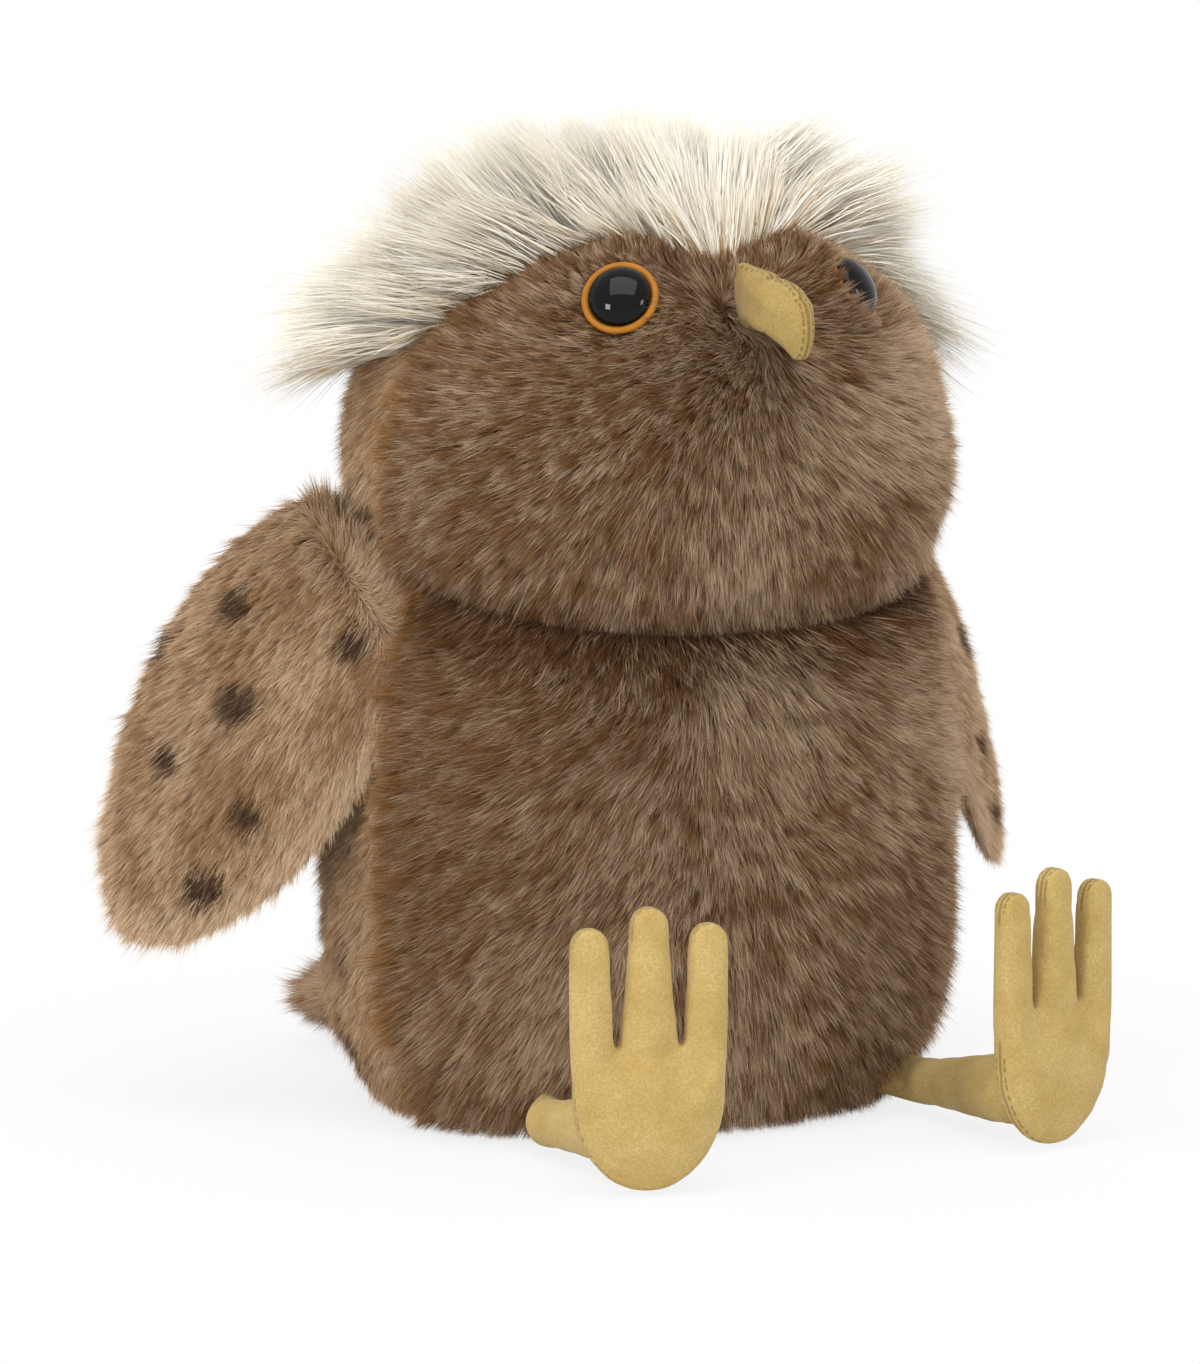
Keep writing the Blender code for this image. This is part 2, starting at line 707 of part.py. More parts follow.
def build_leg_and_foot(side_name, side, suede, stuffing):
    """A suede tube that swings at the body, and an upright three-toed foot that swings at the ankle."""
    x = side * LEG_SPREAD
    z = LEG_SWELL + FOOT_FLOOR_GAP
    hip = Vector((x, ball_seat_y(x, z, LEG_RADIUS), z))
    hip_frame = frame_at(hip, Vector((1, 0, 0)), Vector((0, -1, 0)))
    hip_seat = make_seat(f"hip_hinge_{side_name}", hip_frame)
    rise = ANKLE_HEIGHT - z
    toward = Vector((0, LEG_LENGTH, -rise)).normalized()
    over = toward.cross(Vector((1, 0, 0)))
    run = math.hypot(LEG_LENGTH, rise)
    turns = [math.tau * i / TUBE_STEPS for i in range(TUBE_STEPS)]

    def tube_rings(radius):
        """Rings along the leg, rounded at both ends, at this radius where the leg is thinnest."""
        swell = radius * LEG_SWELL / LEG_RADIUS
        ends = [(LEG_RADIUS * share, radius * math.sqrt(1 - share**2)) for share in LEG_END_SHARES]
        profile = [(-along, girth) for along, girth in ends]
        profile += [(0.0, radius), (run / 2, swell), (run, radius)]
        profile += [(run + along, girth) for along, girth in reversed(ends)]
        return [
            [toward * along + (Vector((1, 0, 0)) * math.cos(t) + over * math.sin(t)) * girth for t in turns]
            for along, girth in profile
        ]

    outer = tube_rings(LEG_RADIUS)
    inner = tube_rings(LEG_RADIUS - SUEDE_CLOTH)
    make_object(f"leg_cover_{side_name}", loft([*outer, *reversed(inner)], closed=True), suede, hip_seat)
    core = tube_rings(LEG_RADIUS - SUEDE_CLOTH - SEAM_GAP)
    reach = LEG_RADIUS * LEG_END_SHARES[0]
    sections = [[toward * -reach], *core, [toward * (run + reach)]]
    make_object(f"leg_filling_{side_name}", loft(sections), stuffing, hip_seat)

    ankle = hip_frame @ (toward * run)
    outward_turn = Matrix.Rotation(side * FOOT_TOE_OUT, 4, "Z")
    across = outward_turn @ Vector((1, 0, 0))
    ankle_seat = make_seat(f"ankle_hinge_{side_name}", frame_at(ankle, across, Vector((0, 0, 1))))
    build_foot(side_name, ankle_seat, suede, stuffing)


def foot_outline():
    """The sole's outline, level with the floor at its lowest: a rounded heel and three straight toes."""
    lift = FOOT_FLOOR_GAP - ANKLE_HEIGHT

    def arc(centre, radius_across, radius_up, start, end, steps):
        middle = Vector((centre[0], centre[1] + lift))
        turns = [math.radians(start + (end - start) * i / steps) for i in range(steps + 1)]
        return [middle + Vector((radius_across * math.cos(t), radius_up * math.sin(t))) for t in turns]

    side_tip = SIDE_TOE_HEIGHT - TOE_RADIUS
    middle_tip = MIDDLE_TOE_HEIGHT - TOE_RADIUS
    fork = TOE_FORK_HEIGHT
    gap_middle = TOE_SPACING / 2
    heel = arc((0, SOLE_RISE), SOLE_HALF_WIDTH, SOLE_RISE, -180, 0, 12)
    right_toe = arc((TOE_SPACING, side_tip), TOE_RADIUS, TOE_RADIUS, 0, 180, 4)
    right_fork = arc((gap_middle, fork), TOE_FORK_RADIUS, TOE_FORK_RADIUS, 0, -180, 2)
    middle_toe = arc((0, middle_tip), TOE_RADIUS, TOE_RADIUS, 0, 180, 4)
    left_fork = arc((-gap_middle, fork), TOE_FORK_RADIUS, TOE_FORK_RADIUS, 0, -180, 2)
    left_toe = arc((-TOE_SPACING, side_tip), TOE_RADIUS, TOE_RADIUS, 0, 180, 4)
    return heel + right_toe + right_fork + middle_toe + left_fork + left_toe


def flat_cap_shell(outline, side, cloth):
    """Half of the foot's cover: a shallow tray with a rounded edge, open at the seam plane."""
    outer = edged_rings(outline, FOOT_HALF_THICKNESS, side, SEAM_GAP, FOOT_EDGE_ROUNDING)
    inside = inward(outline, cloth)
    inner = edged_rings(inside, FOOT_HALF_THICKNESS - cloth, side, SEAM_GAP, FOOT_EDGE_ROUNDING - cloth)
    return stacked([*reversed(outer), *inner])


def build_foot(side_name, ankle_seat, suede, stuffing):
    """Sole and instep halves, seamed round the outline, over a stuffed core."""
    outline = foot_outline()
    stand_off = LEG_RADIUS + SEAM_GAP + FOOT_HALF_THICKNESS
    place = Matrix.Translation((0, 0, stand_off))
    lining = SUEDE_CLOTH + SEAM_GAP
    core = inward(outline, lining)
    halves = [
        edged_rings(core, FOOT_HALF_THICKNESS - lining, side, SEAM_GAP, FOOT_EDGE_ROUNDING - lining)
        for side in (1, -1)
    ]
    pieces = (
        ("foot_sole", flat_cap_shell(outline, 1, SUEDE_CLOTH), suede),
        ("foot_instep", flat_cap_shell(outline, -1, SUEDE_CLOTH), suede),
        ("foot_filling", stacked([*reversed(halves[0]), *halves[1]]), stuffing),
    )
    for name, shape, cloth in pieces:
        shape.transform(place)
        make_object(f"{name}_{side_name}", shape, cloth, ankle_seat)


def build():
    clear_scene()
    brown = make_material("brown pile", (0.26, 0.16, 0.09), 0.95)
    tan = make_material("spotted tan pile", (0.52, 0.36, 0.22), 0.95)
    plain_tan = make_material("plain tan pile", (0.60, 0.45, 0.31), 0.95)
    ivory = make_material("ivory long pile", (0.87, 0.83, 0.74), 0.95)
    suede = make_material("mustard suede", (0.72, 0.58, 0.26), 0.9)
    stuffing = make_material("white stuffing", (0.85, 0.85, 0.83), 1.0)
    amber = make_material("amber plastic", (0.75, 0.30, 0.04), 0.25)
    black = make_material("black plastic", (0.01, 0.01, 0.01), 0.08)

    neck_frame = Matrix.Translation((0, 0, NECK_HEIGHT)) @ Matrix.Rotation(NECK_TILT, 4, "X")
    neck = make_seat("neck_hinge", neck_frame)
    head_seat = make_seat("head_seat", Matrix.Rotation(HEAD_TILT - NECK_TILT, 4, "X"), neck)
    above_neck = make_cutter("above_neck", cylinder(CUT_REACH, 0.0, CUT_REACH), neck)
    below_neck = make_cutter("below_neck", cylinder(CUT_REACH, -CUT_REACH, SEAM_GAP), neck)

    build_body(brown, tan, stuffing, above_neck)
    head_pieces = build_head(head_seat, brown, tan, ivory, stuffing, below_neck)
    build_eyes(head_seat, amber, black, head_pieces)

    top = math.radians(88)
    body_shape = body.solid(body.climb_at(SEAM_GAP), top, -CUT_GAP, ROUND_STEPS, 2)
    head_shape = head.solid(-top, top, -CUT_GAP, ROUND_STEPS, 2)
    body_cutter = make_cutter("body_shape", body_shape)
    head_cutter = make_cutter("head_shape", head_shape, head_seat)
    cheek_cutter = make_cutter("cheek_sweep", head.solid(-top, top, -WING_HEAD_GAP, ROUND_STEPS), head_seat)
    cut_away(cheek_cutter, below_neck)
    build_beak(head_seat, suede, stuffing, head_cutter)
    for side_name, side in SIDES:
        build_wing(side_name, side, tan, plain_tan, stuffing, (body_cutter, cheek_cutter))
        build_leg_and_foot(side_name, side, suede, stuffing)
    build_tail(tan, stuffing, body_cutter)


build()
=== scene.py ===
import math
from collections import namedtuple

import bmesh
import bpy
import numpy as np
from mathutils import Matrix, Vector


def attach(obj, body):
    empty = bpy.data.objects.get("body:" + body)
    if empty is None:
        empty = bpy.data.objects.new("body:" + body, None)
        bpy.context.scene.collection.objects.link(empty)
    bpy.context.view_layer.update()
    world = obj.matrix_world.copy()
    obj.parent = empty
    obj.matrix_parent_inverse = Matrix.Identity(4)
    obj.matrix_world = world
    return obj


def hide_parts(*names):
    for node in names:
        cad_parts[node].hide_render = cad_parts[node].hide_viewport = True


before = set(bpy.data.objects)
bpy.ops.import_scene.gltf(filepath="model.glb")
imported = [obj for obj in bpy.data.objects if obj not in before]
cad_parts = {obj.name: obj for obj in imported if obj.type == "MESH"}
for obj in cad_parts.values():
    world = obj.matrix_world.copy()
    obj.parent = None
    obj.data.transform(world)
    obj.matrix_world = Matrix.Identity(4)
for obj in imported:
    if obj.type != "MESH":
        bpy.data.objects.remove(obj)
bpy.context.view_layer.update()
scene = bpy.context.scene
scene.view_settings.view_transform = "Standard"

# Camera. It stands well back, low and to the owl's own right, and looks a little down on it, with a
# long lens that keeps the feet from looming.
CAMERA_AZIMUTH = math.radians(-29.9)
CAMERA_ELEVATION = math.radians(8.1)
CAMERA_DISTANCE = 2.52
CAMERA_AIM_RIGHT = -0.0115
CAMERA_AIM_HEIGHT = 0.1335
CAMERA_LENS = 211.3

back = Vector((
    math.sin(CAMERA_AZIMUTH) * math.cos(CAMERA_ELEVATION),
    -math.cos(CAMERA_AZIMUTH) * math.cos(CAMERA_ELEVATION),
    math.sin(CAMERA_ELEVATION),
))
rightward = Vector((math.cos(CAMERA_AZIMUTH), math.sin(CAMERA_AZIMUTH), 0))
aim = rightward * CAMERA_AIM_RIGHT + Vector((0, 0, CAMERA_AIM_HEIGHT))
camera = bpy.data.objects.new("camera", bpy.data.cameras.new("camera"))
camera.data.lens = CAMERA_LENS
camera.data.clip_end = 20
scene.collection.objects.link(camera)
camera.matrix_world = (
    Matrix.Translation(aim + back * CAMERA_DISTANCE)
    @ Matrix((rightward, back.cross(rightward), back)).transposed().to_4x4()
)
scene.camera = camera


# Studio. A pale floor that fades into a white surround, two tall windows of soft light in front, and a
# broad one overhead.
FLOOR_RADIUS = 9.0
FLOOR_COLOUR = (0.86, 0.86, 0.86, 1)
SURROUND_STRENGTH = 0.62
FADE_START = 0.05
FADE_END = 0.34
FADE_LEAST = 0.80
LIGHT_AIM = Vector((0, 0, 0.15))


def new_material(name):
    """A material with its Principled shader and its output, ready for more nodes."""
    material = bpy.data.materials.new(name)
    material.use_nodes = True
    tree = material.node_tree
    return material, tree, tree.nodes["Principled BSDF"]


def seen_rays(tree):
    """1 for rays that show a surface plainly: from the camera, in gloss or through glass."""
    path = tree.nodes.new("ShaderNodeLightPath")
    first = tree.nodes.new("ShaderNodeMath")
    first.operation = "MAXIMUM"
    tree.links.new(path.outputs["Is Camera Ray"], first.inputs[0])
    tree.links.new(path.outputs["Is Glossy Ray"], first.inputs[1])
    both = tree.nodes.new("ShaderNodeMath")
    both.operation = "MAXIMUM"
    tree.links.new(first.outputs[0], both.inputs[0])
    tree.links.new(path.outputs["Is Transmission Ray"], both.inputs[1])
    return both.outputs[0]


world = bpy.data.worlds.new("surround")
world.use_nodes = True
scene.world = world
sky = world.node_tree
lit = sky.nodes["Background"]
lit.inputs["Color"].default_value = (1, 1, 1, 1)
lit.inputs["Strength"].default_value = SURROUND_STRENGTH
shown = sky.nodes.new("ShaderNodeBackground")
shown.inputs["Strength"].default_value = 1.0
blend_world = sky.nodes.new("ShaderNodeMixShader")
sky.links.new(seen_rays(sky), blend_world.inputs["Fac"])
sky.links.new(lit.outputs[0], blend_world.inputs[1])
sky.links.new(shown.outputs[0], blend_world.inputs[2])
sky.links.new(blend_world.outputs[0], sky.nodes["World Output"].inputs["Surface"])

floor_mesh = bpy.data.meshes.new("floor")
floor_bm = bmesh.new()
bmesh.ops.create_circle(floor_bm, cap_ends=True, segments=96, radius=FLOOR_RADIUS)
floor_bm.to_mesh(floor_mesh)
floor_bm.free()
floor = bpy.data.objects.new("floor", floor_mesh)
scene.collection.objects.link(floor)
floor_material, tree, surface = new_material("white floor")
surface.inputs["Base Color"].default_value = FLOOR_COLOUR
surface.inputs["Roughness"].default_value = 0.9
place = tree.nodes.new("ShaderNodeTexCoord")
reach = tree.nodes.new("ShaderNodeVectorMath")
reach.operation = "LENGTH"
tree.links.new(place.outputs["Object"], reach.inputs[0])
fade = tree.nodes.new("ShaderNodeMapRange")
fade.interpolation_type = "SMOOTHSTEP"
fade.inputs["From Min"].default_value = FADE_START
fade.inputs["From Max"].default_value = FADE_END
fade.inputs["To Min"].default_value = FADE_LEAST
tree.links.new(reach.outputs["Value"], fade.inputs["Value"])
share = tree.nodes.new("ShaderNodeMath")
share.operation = "MULTIPLY"
tree.links.new(fade.outputs["Result"], share.inputs[0])
tree.links.new(seen_rays(tree), share.inputs[1])
glow = tree.nodes.new("ShaderNodeEmission")
floor_mix = tree.nodes.new("ShaderNodeMixShader")
tree.links.new(share.outputs[0], floor_mix.inputs["Fac"])
tree.links.new(surface.outputs[0], floor_mix.inputs[1])
tree.links.new(glow.outputs[0], floor_mix.inputs[2])
tree.links.new(floor_mix.outputs[0], tree.nodes["Material Output"].inputs["Surface"])
floor_mesh.materials.append(floor_material)


def soft_window(name, position, width, height, power):
    """A soft light that faces the owl's middle, in metres and watts."""
    light = bpy.data.lights.new(name, "AREA")
    light.shape = "RECTANGLE"
    light.size = width
    light.size_y = height
    light.energy = power
    lamp = bpy.data.objects.new(name, light)
    scene.collection.objects.link(lamp)
    toward = LIGHT_AIM - Vector(position)
    lamp.matrix_world = Matrix.Translation(position) @ toward.to_track_quat("-Z", "Y").to_matrix().to_4x4()


soft_window("left window", (-2.35, -0.75, 0.75), width=0.5, height=0.6, power=18.5)
soft_window("right window", (0.95, -2.2, 0.75), width=0.5, height=0.6, power=9.5)
soft_window("overhead softbox", (-0.5, -0.6, 1.9), width=1.8, height=1.4, power=22)


# Body and head. Each is a stuffed form of rounded square section under pile cloth. The body's lobe
# stands upright, and the head's leans back on it.
Lobe = namedtuple("Lobe", "half_width front behind widest above below section above_power below_power")
BODY_LOBE = Lobe(
    half_width=0.101, front=0.081, behind=0.080, widest=0.075, above=0.180, below=0.095,
    section=2.4, above_power=2.2, below_power=3.0,
)
BODY_SEAM = math.radians(76)
BODY_FOOT = 0.0012
NECK_HEIGHT = 0.178
NECK_TILT = math.radians(16)
HEAD_LOBE = Lobe(
    half_width=0.096, front=0.080, behind=0.076, widest=0.029, above=0.080, below=0.060,
    section=2.4, above_power=2.2, below_power=2.2,
)
HEAD_TILT = math.radians(10)
HEAD_SEAM = math.radians(84)
BROW_LINE = (
    (0, 62), (18, 65), (45, 67), (66, 63), (82, 43), (91, 29), (102, 24), (130, 20), (180, 18),
)
BROW_EASE = 6
HEAD_PLACE = Matrix.Translation((0, 0, NECK_HEIGHT)) @ Matrix.Rotation(HEAD_TILT, 4, "X")
SCALP_INSET = 0.0045


def lobe_points(lobe, angle, climb, inset=0.0):
    """Points on a stuffed form, at angles round from its front and climbs from its widest level."""
    power = np.where(climb > 0, lobe.above_power, lobe.below_power)
    rise = np.where(climb > 0, lobe.above, lobe.below)
    depth = np.where(np.cos(angle) > 0, lobe.front, lobe.behind)
    section = lobe.section
    reach = (np.abs(np.cos(climb)) ** power + np.abs(np.sin(climb)) ** power) ** (-1 / power)
    turn = (np.abs(np.sin(angle)) ** section + np.abs(np.cos(angle)) ** section) ** (-1 / section)
    girth = reach * np.cos(climb) * turn
    x = (lobe.half_width - inset) * girth * np.sin(angle)
    y = -(depth - inset) * girth * np.cos(angle)
    z = lobe.widest + (rise - inset) * reach * np.sin(climb)
    return np.stack([x, y, z], axis=-1)


def lobe_frame(lobe, angle, climb):
    """Unit vectors on the form: round it, up it and out of it."""
    step = math.radians(0.4)
    around = lobe_points(lobe, angle + step, climb) - lobe_points(lobe, angle - step, climb)
    upward = lobe_points(lobe, angle, climb + step) - lobe_points(lobe, angle, climb - step)
    outward = np.cross(around, upward)
    return unit(around), unit(upward), unit(outward)


def unit(vectors):
    return vectors / np.maximum(np.linalg.norm(vectors, axis=-1, keepdims=True), 1e-9)


def climb_at(lobe, height):
    """The climb at which the form's skin passes this height."""
    over = height - lobe.widest
    rise, power = (lobe.above, lobe.above_power) if over > 0 else (lobe.below, lobe.below_power)
    share = min(abs(over) / rise, 1.0)
    return math.copysign(math.atan2(share, (1 - share**power) ** (1 / power)), over)


def climb_on_plane(lobe, angle, height, slope):
    """The climbs at angles round the form at which its skin meets the plane z = height + slope * y."""
    climb = 0 * angle
    for _ in range(12):
        over = height + slope * lobe_points(lobe, angle, climb)[..., 1] - lobe.widest
        power = np.where(over > 0, lobe.above_power, lobe.below_power)
        share = np.minimum(np.abs(over) / np.where(over > 0, lobe.above, lobe.below), 0.999)
        climb = np.sign(over) * np.arctan2(share, (1 - share**power) ** (1 / power))
    return climb


def brow_climb(angle):
    """The climb of the brow seam at angles round the head, with its corners eased."""
    around = np.abs(np.degrees(angle)) % 360
    around = np.minimum(around, 360 - around)
    knots, climbs = zip(*BROW_LINE)
    near = [
        np.interp(np.abs(np.minimum(around + e, 360 - around - e)), knots, climbs)
        for e in (-BROW_EASE, 0, BROW_EASE)
    ]
    return np.radians(sum(near) / 3)


def moved(matrix, points):
    """Points under a 4 by 4 matrix."""
    m = np.array(matrix)
    return points @ m[:3, :3].T + m[:3, 3]


def turned(matrix, vectors):
    return vectors @ np.array(matrix)[:3, :3].T


def grid_mesh(name, points, closed=False):
    """A mesh of quads over rows of points. The rows join up at their ends where closed."""
    rows, columns = points.shape[:2]
    index = np.arange(rows * columns).reshape(rows, columns)
    after = np.roll(index, -1, axis=1) if closed else index[:, 1:]
    before = index if closed else index[:, :-1]
    quads = np.stack([before[:-1], after[:-1], after[1:], before[1:]], axis=-1).reshape(-1, 4)
    mesh = bpy.data.meshes.new(name)
    mesh.from_pydata(points.reshape(-1, 3).tolist(), [], quads.tolist())
    mesh.shade_smooth()
    return mesh


def add_object(name, mesh):
    piece = bpy.data.objects.new(name, mesh)
    scene.collection.objects.link(piece)
    return piece


def paint(mesh, **values):
    """Stores values on the mesh's points, vectors or numbers, each under its own name."""
    for key, value in values.items():
        kind = "FLOAT_VECTOR" if value.ndim > 1 and value.shape[-1] == 3 else "FLOAT"
        field = "vector" if kind == "FLOAT_VECTOR" else "value"
        mesh.attributes.new(key, kind, "POINT").data.foreach_set(field, value.astype(np.float32).ravel())


def noise_at(points, size, seed):
    """Smooth noise from 0 to 1 at points, about this large, from a few seeded waves."""
    chance = np.random.default_rng(seed)
    total = np.zeros(points.shape[:-1])
    for octave, weight in ((1, 1.0), (2, 0.6), (4, 0.35)):
        ways = unit(chance.normal(size=(6, 3))) * octave / size
        phases = chance.uniform(0, math.tau, 6)
        total += weight * np.sin(math.tau * (points @ ways.T) * 0.5 + phases).sum(axis=-1) / 6
    return np.clip(0.5 + total * 0.75, 0, 1)


# Pile cloth. Every pile is made of single tapered fibres, rooted on the cloth, combed along its nap
# and drawn together in small tufts. A fibre's colour is set by its place and how far up it one looks.
FIBRE_TAPER = 1.6
WIDTH_RANGE = (0.7, 1.25)
LONGEST_SHARE = 1.12
FIBRE_SPIN = 0.55
FUR_FLOOR = 0.0004
BOTH_SIDES = (("right", -1), ("left", 1))


def fibre_mesh(name, segments, arch, curl):
    """One flat tapered fibre, a unit long up Z and a unit wide, arched towards +Y."""
    points = []
    widths = []
    for i in range(segments + 1):
        along = i / segments
        bow = arch * math.sin(math.pi * along) + curl * along**2
        half = 0.5 * (1 - along**FIBRE_TAPER) if i < segments else 0.0
        points.append((bow, along))
        widths.append(half)
    vertices = []
    for (bow, along), half in zip(points, widths):
        if half:
            vertices += [(-half, bow, along), (half, bow, along)]
        else:
            vertices.append((0, bow, along))
    faces = [(2 * i, 2 * i + 1, 2 * i + 3, 2 * i + 2) for i in range(segments - 1)]
    faces.append((2 * segments - 2, 2 * segments - 1, 2 * segments))
    mesh = bpy.data.meshes.new(name)
    mesh.from_pydata(vertices, [], faces)
    layer = mesh.uv_layers.new(name="fibre")
    for loop in mesh.loops:
        x, _, z = vertices[loop.vertex_index]
        layer.data[loop.index].uv = (0.5 + x, z)
    mesh.shade_smooth()
    return mesh


def fibre_set(name, segments, bends):
    """A hidden group of fibres with unlike bends, to pick from."""
    group = bpy.data.collections.new(name)
    for i, (arch, curl) in enumerate(bends):
        fibre = fibre_mesh(f"{name}_{i}", segments, arch, curl)
        group.objects.link(bpy.data.objects.new(f"{name}_{i}", fibre))
    return group


def node(tree, kind, **settings):
    made = tree.nodes.new(kind)
    for key, value in settings.items():
        setattr(made, key, value)
    return made


def feed(tree, target, *sources):
    """Links or sets a node's inputs in turn. None leaves one as it is."""
    for socket, source in zip(target.inputs, sources):
        if source is None:
            continue
        if isinstance(source, bpy.types.NodeSocket):
            tree.links.new(source, socket)
        else:
            socket.default_value = source
    return target


def maths_in(tree):
    """A maker of math nodes in this tree."""
    def maths(operation, *sources):
        return feed(tree, node(tree, "ShaderNodeMath", operation=operation), *sources).outputs[0]

    return maths


def value_socket(stored):
    """The live Value input of a Store Named Attribute node."""
    return [s for s in stored.inputs if s.name == "Value" and s.enabled][0]


def pile_tree():
    """Geometry nodes that grow a pile from a cloth. Its points carry the nap's way (comb), its length
    (pile) and thickness (thick), its shade (tone), and the chances of a marked and of an edge fibre.
    On the brown pile, marked fibres by the neck are painted shade in the neck's crease."""
    tree = bpy.data.node_groups.new("pile", "GeometryNodeTree")
    sockets = (
        ("Cloth", "NodeSocketGeometry"),
        ("Fibres", "NodeSocketCollection"),
        ("Density", "NodeSocketFloat"),
        ("Length", "NodeSocketFloat"),
        ("Width", "NodeSocketFloat"),
        ("Tuft Size", "NodeSocketFloat"),
        ("Tuft Pull", "NodeSocketFloat"),
        ("Stray", "NodeSocketFloat"),
        ("Tuft Stray", "NodeSocketFloat"),
        ("Tone Spread", "NodeSocketFloat"),
        ("Shortest", "NodeSocketFloat"),
        ("Floor", "NodeSocketFloat"),
        ("Ceiling", "NodeSocketFloat"),
        ("Seed", "NodeSocketInt"),
        ("Finish", "NodeSocketMaterial"),
    )
    for name, kind in sockets:
        tree.interface.new_socket(name, in_out="INPUT", socket_type=kind)
    tree.interface.new_socket("Pile", in_out="OUTPUT", socket_type="NodeSocketGeometry")
    given = node(tree, "NodeGroupInput").outputs
    maths = maths_in(tree)

    def vectors(operation, *sources):
        made = node(tree, "ShaderNodeVectorMath", operation=operation)
        return feed(tree, made, *sources).outputs[1 if operation in ("DOT_PRODUCT", "LENGTH") else 0]

    def scaled(vector, amount):
        made = node(tree, "ShaderNodeVectorMath", operation="SCALE")
        tree.links.new(vector, made.inputs[0])
        if isinstance(amount, bpy.types.NodeSocket):
            tree.links.new(amount, made.inputs["Scale"])
        else:
            made.inputs["Scale"].default_value = amount
        return made.outputs[0]

    def named(name, kind="FLOAT"):
        made = node(tree, "GeometryNodeInputNamedAttribute", data_type=kind)
        made.inputs["Name"].default_value = name
        return made.outputs["Attribute"]

    def chance(kind, low, high, shift):
        made = node(tree, "FunctionNodeRandomValue", data_type=kind)
        live = [s for s in made.inputs if s.enabled]
        for socket, value in zip(live, (low, high)):
            socket.default_value = value
        tree.links.new(maths("ADD", given["Seed"], shift), made.inputs["Seed"])
        return [s for s in made.outputs if s.enabled][0]

    scatter = node(tree, "GeometryNodeDistributePointsOnFaces", distribute_method="RANDOM")
    tree.links.new(given["Cloth"], scatter.inputs["Mesh"])
    tree.links.new(maths("MULTIPLY", given["Density"], named("thick")), scatter.inputs["Density"])
    tree.links.new(given["Seed"], scatter.inputs["Seed"])
    keep = node(tree, "GeometryNodeCaptureAttribute", domain="POINT")
    keep.capture_items.new("VECTOR", "normal")
    tree.links.new(scatter.outputs["Points"], keep.inputs[0])
    tree.links.new(scatter.outputs["Normal"], keep.inputs[1])
    outward = keep.outputs[1]

    root = node(tree, "GeometryNodeInputPosition").outputs[0]
    tuft = node(tree, "ShaderNodeTexVoronoi")
    tree.links.new(root, tuft.inputs["Vector"])
    tree.links.new(maths("DIVIDE", 1.0, given["Tuft Size"]), tuft.inputs["Scale"])
    drawn = vectors("SUBTRACT", tuft.outputs["Position"], root)
    level = vectors("SUBTRACT", drawn, scaled(outward, vectors("DOT_PRODUCT", drawn, outward)))
    pull = scaled(level, given["Tuft Pull"])
    stray = scaled(chance("FLOAT_VECTOR", (-1, -1, -1), (1, 1, 1), 11), given["Stray"])
    tuft_stray = vectors("SUBTRACT", tuft.outputs["Color"], (0.5, 0.5, 0.5))
    tuft_lean = scaled(tuft_stray, given["Tuft Stray"])
    heading = vectors("ADD", vectors("ADD", named("comb", "FLOAT_VECTOR"), stray), tuft_lean)
    tuft_axes = node(tree, "ShaderNodeSeparateXYZ")
    tree.links.new(tuft_stray, tuft_axes.inputs[0])
    uneven = maths("ADD", 1.0, maths("MULTIPLY", tuft_axes.outputs[1], given["Tuft Stray"]))
    full = maths("MULTIPLY", maths("MULTIPLY", given["Length"], uneven), named("pile"))
    span = maths("SUBTRACT", LONGEST_SHARE, given["Shortest"])
    grown = maths("ADD", given["Shortest"], maths("MULTIPLY", chance("FLOAT", 0.0, 1.0, 23), span))
    free_way = scaled(heading, maths("MULTIPLY", full, grown))
    drawn_way = vectors("ADD", free_way, scaled(pull, maths("POWER", grown, 2.0)))
    heights = node(tree, "ShaderNodeSeparateXYZ")
    tree.links.new(root, heights.inputs[0])
    climbs = node(tree, "ShaderNodeSeparateXYZ")
    tree.links.new(drawn_way, climbs.inputs[0])
    headroom = maths("SUBTRACT", given["Ceiling"], heights.outputs[2])
    room = node(tree, "ShaderNodeClamp")
    rise = maths("MAXIMUM", climbs.outputs[2], 0.0001)
    tree.links.new(maths("DIVIDE", headroom, rise), room.inputs["Value"])
    way = scaled(drawn_way, room.outputs[0])
    reach = vectors("LENGTH", way)
    turn = node(tree, "FunctionNodeAxesToRotation", primary_axis="Z", secondary_axis="Y")
    tree.links.new(way, turn.inputs["Primary Axis"])
    spin = scaled(chance("FLOAT_VECTOR", (-1, -1, -1), (1, 1, 1), 37), FIBRE_SPIN)
    tree.links.new(vectors("ADD", outward, spin), turn.inputs["Secondary Axis"])
    size = node(tree, "ShaderNodeCombineXYZ")
    tree.links.new(maths("MULTIPLY", given["Width"], chance("FLOAT", *WIDTH_RANGE, 41)), size.inputs[0])
    tree.links.new(reach, size.inputs[1])
    tree.links.new(reach, size.inputs[2])

    shapes = node(tree, "GeometryNodeCollectionInfo", transform_space="ORIGINAL")
    tree.links.new(given["Fibres"], shapes.inputs["Collection"])
    shapes.inputs["Separate Children"].default_value = True
    shapes.inputs["Reset Children"].default_value = True
    grow = node(tree, "GeometryNodeInstanceOnPoints")
    tree.links.new(keep.outputs[0], grow.inputs["Points"])
    tree.links.new(shapes.outputs[0], grow.inputs["Instance"])
    grow.inputs["Pick Instance"].default_value = True
    tree.links.new(chance("INT", 0, 3, 53), grow.inputs["Instance Index"])
    tree.links.new(turn.outputs[0], grow.inputs["Rotation"])
    tree.links.new(size.outputs[0], grow.inputs["Scale"])

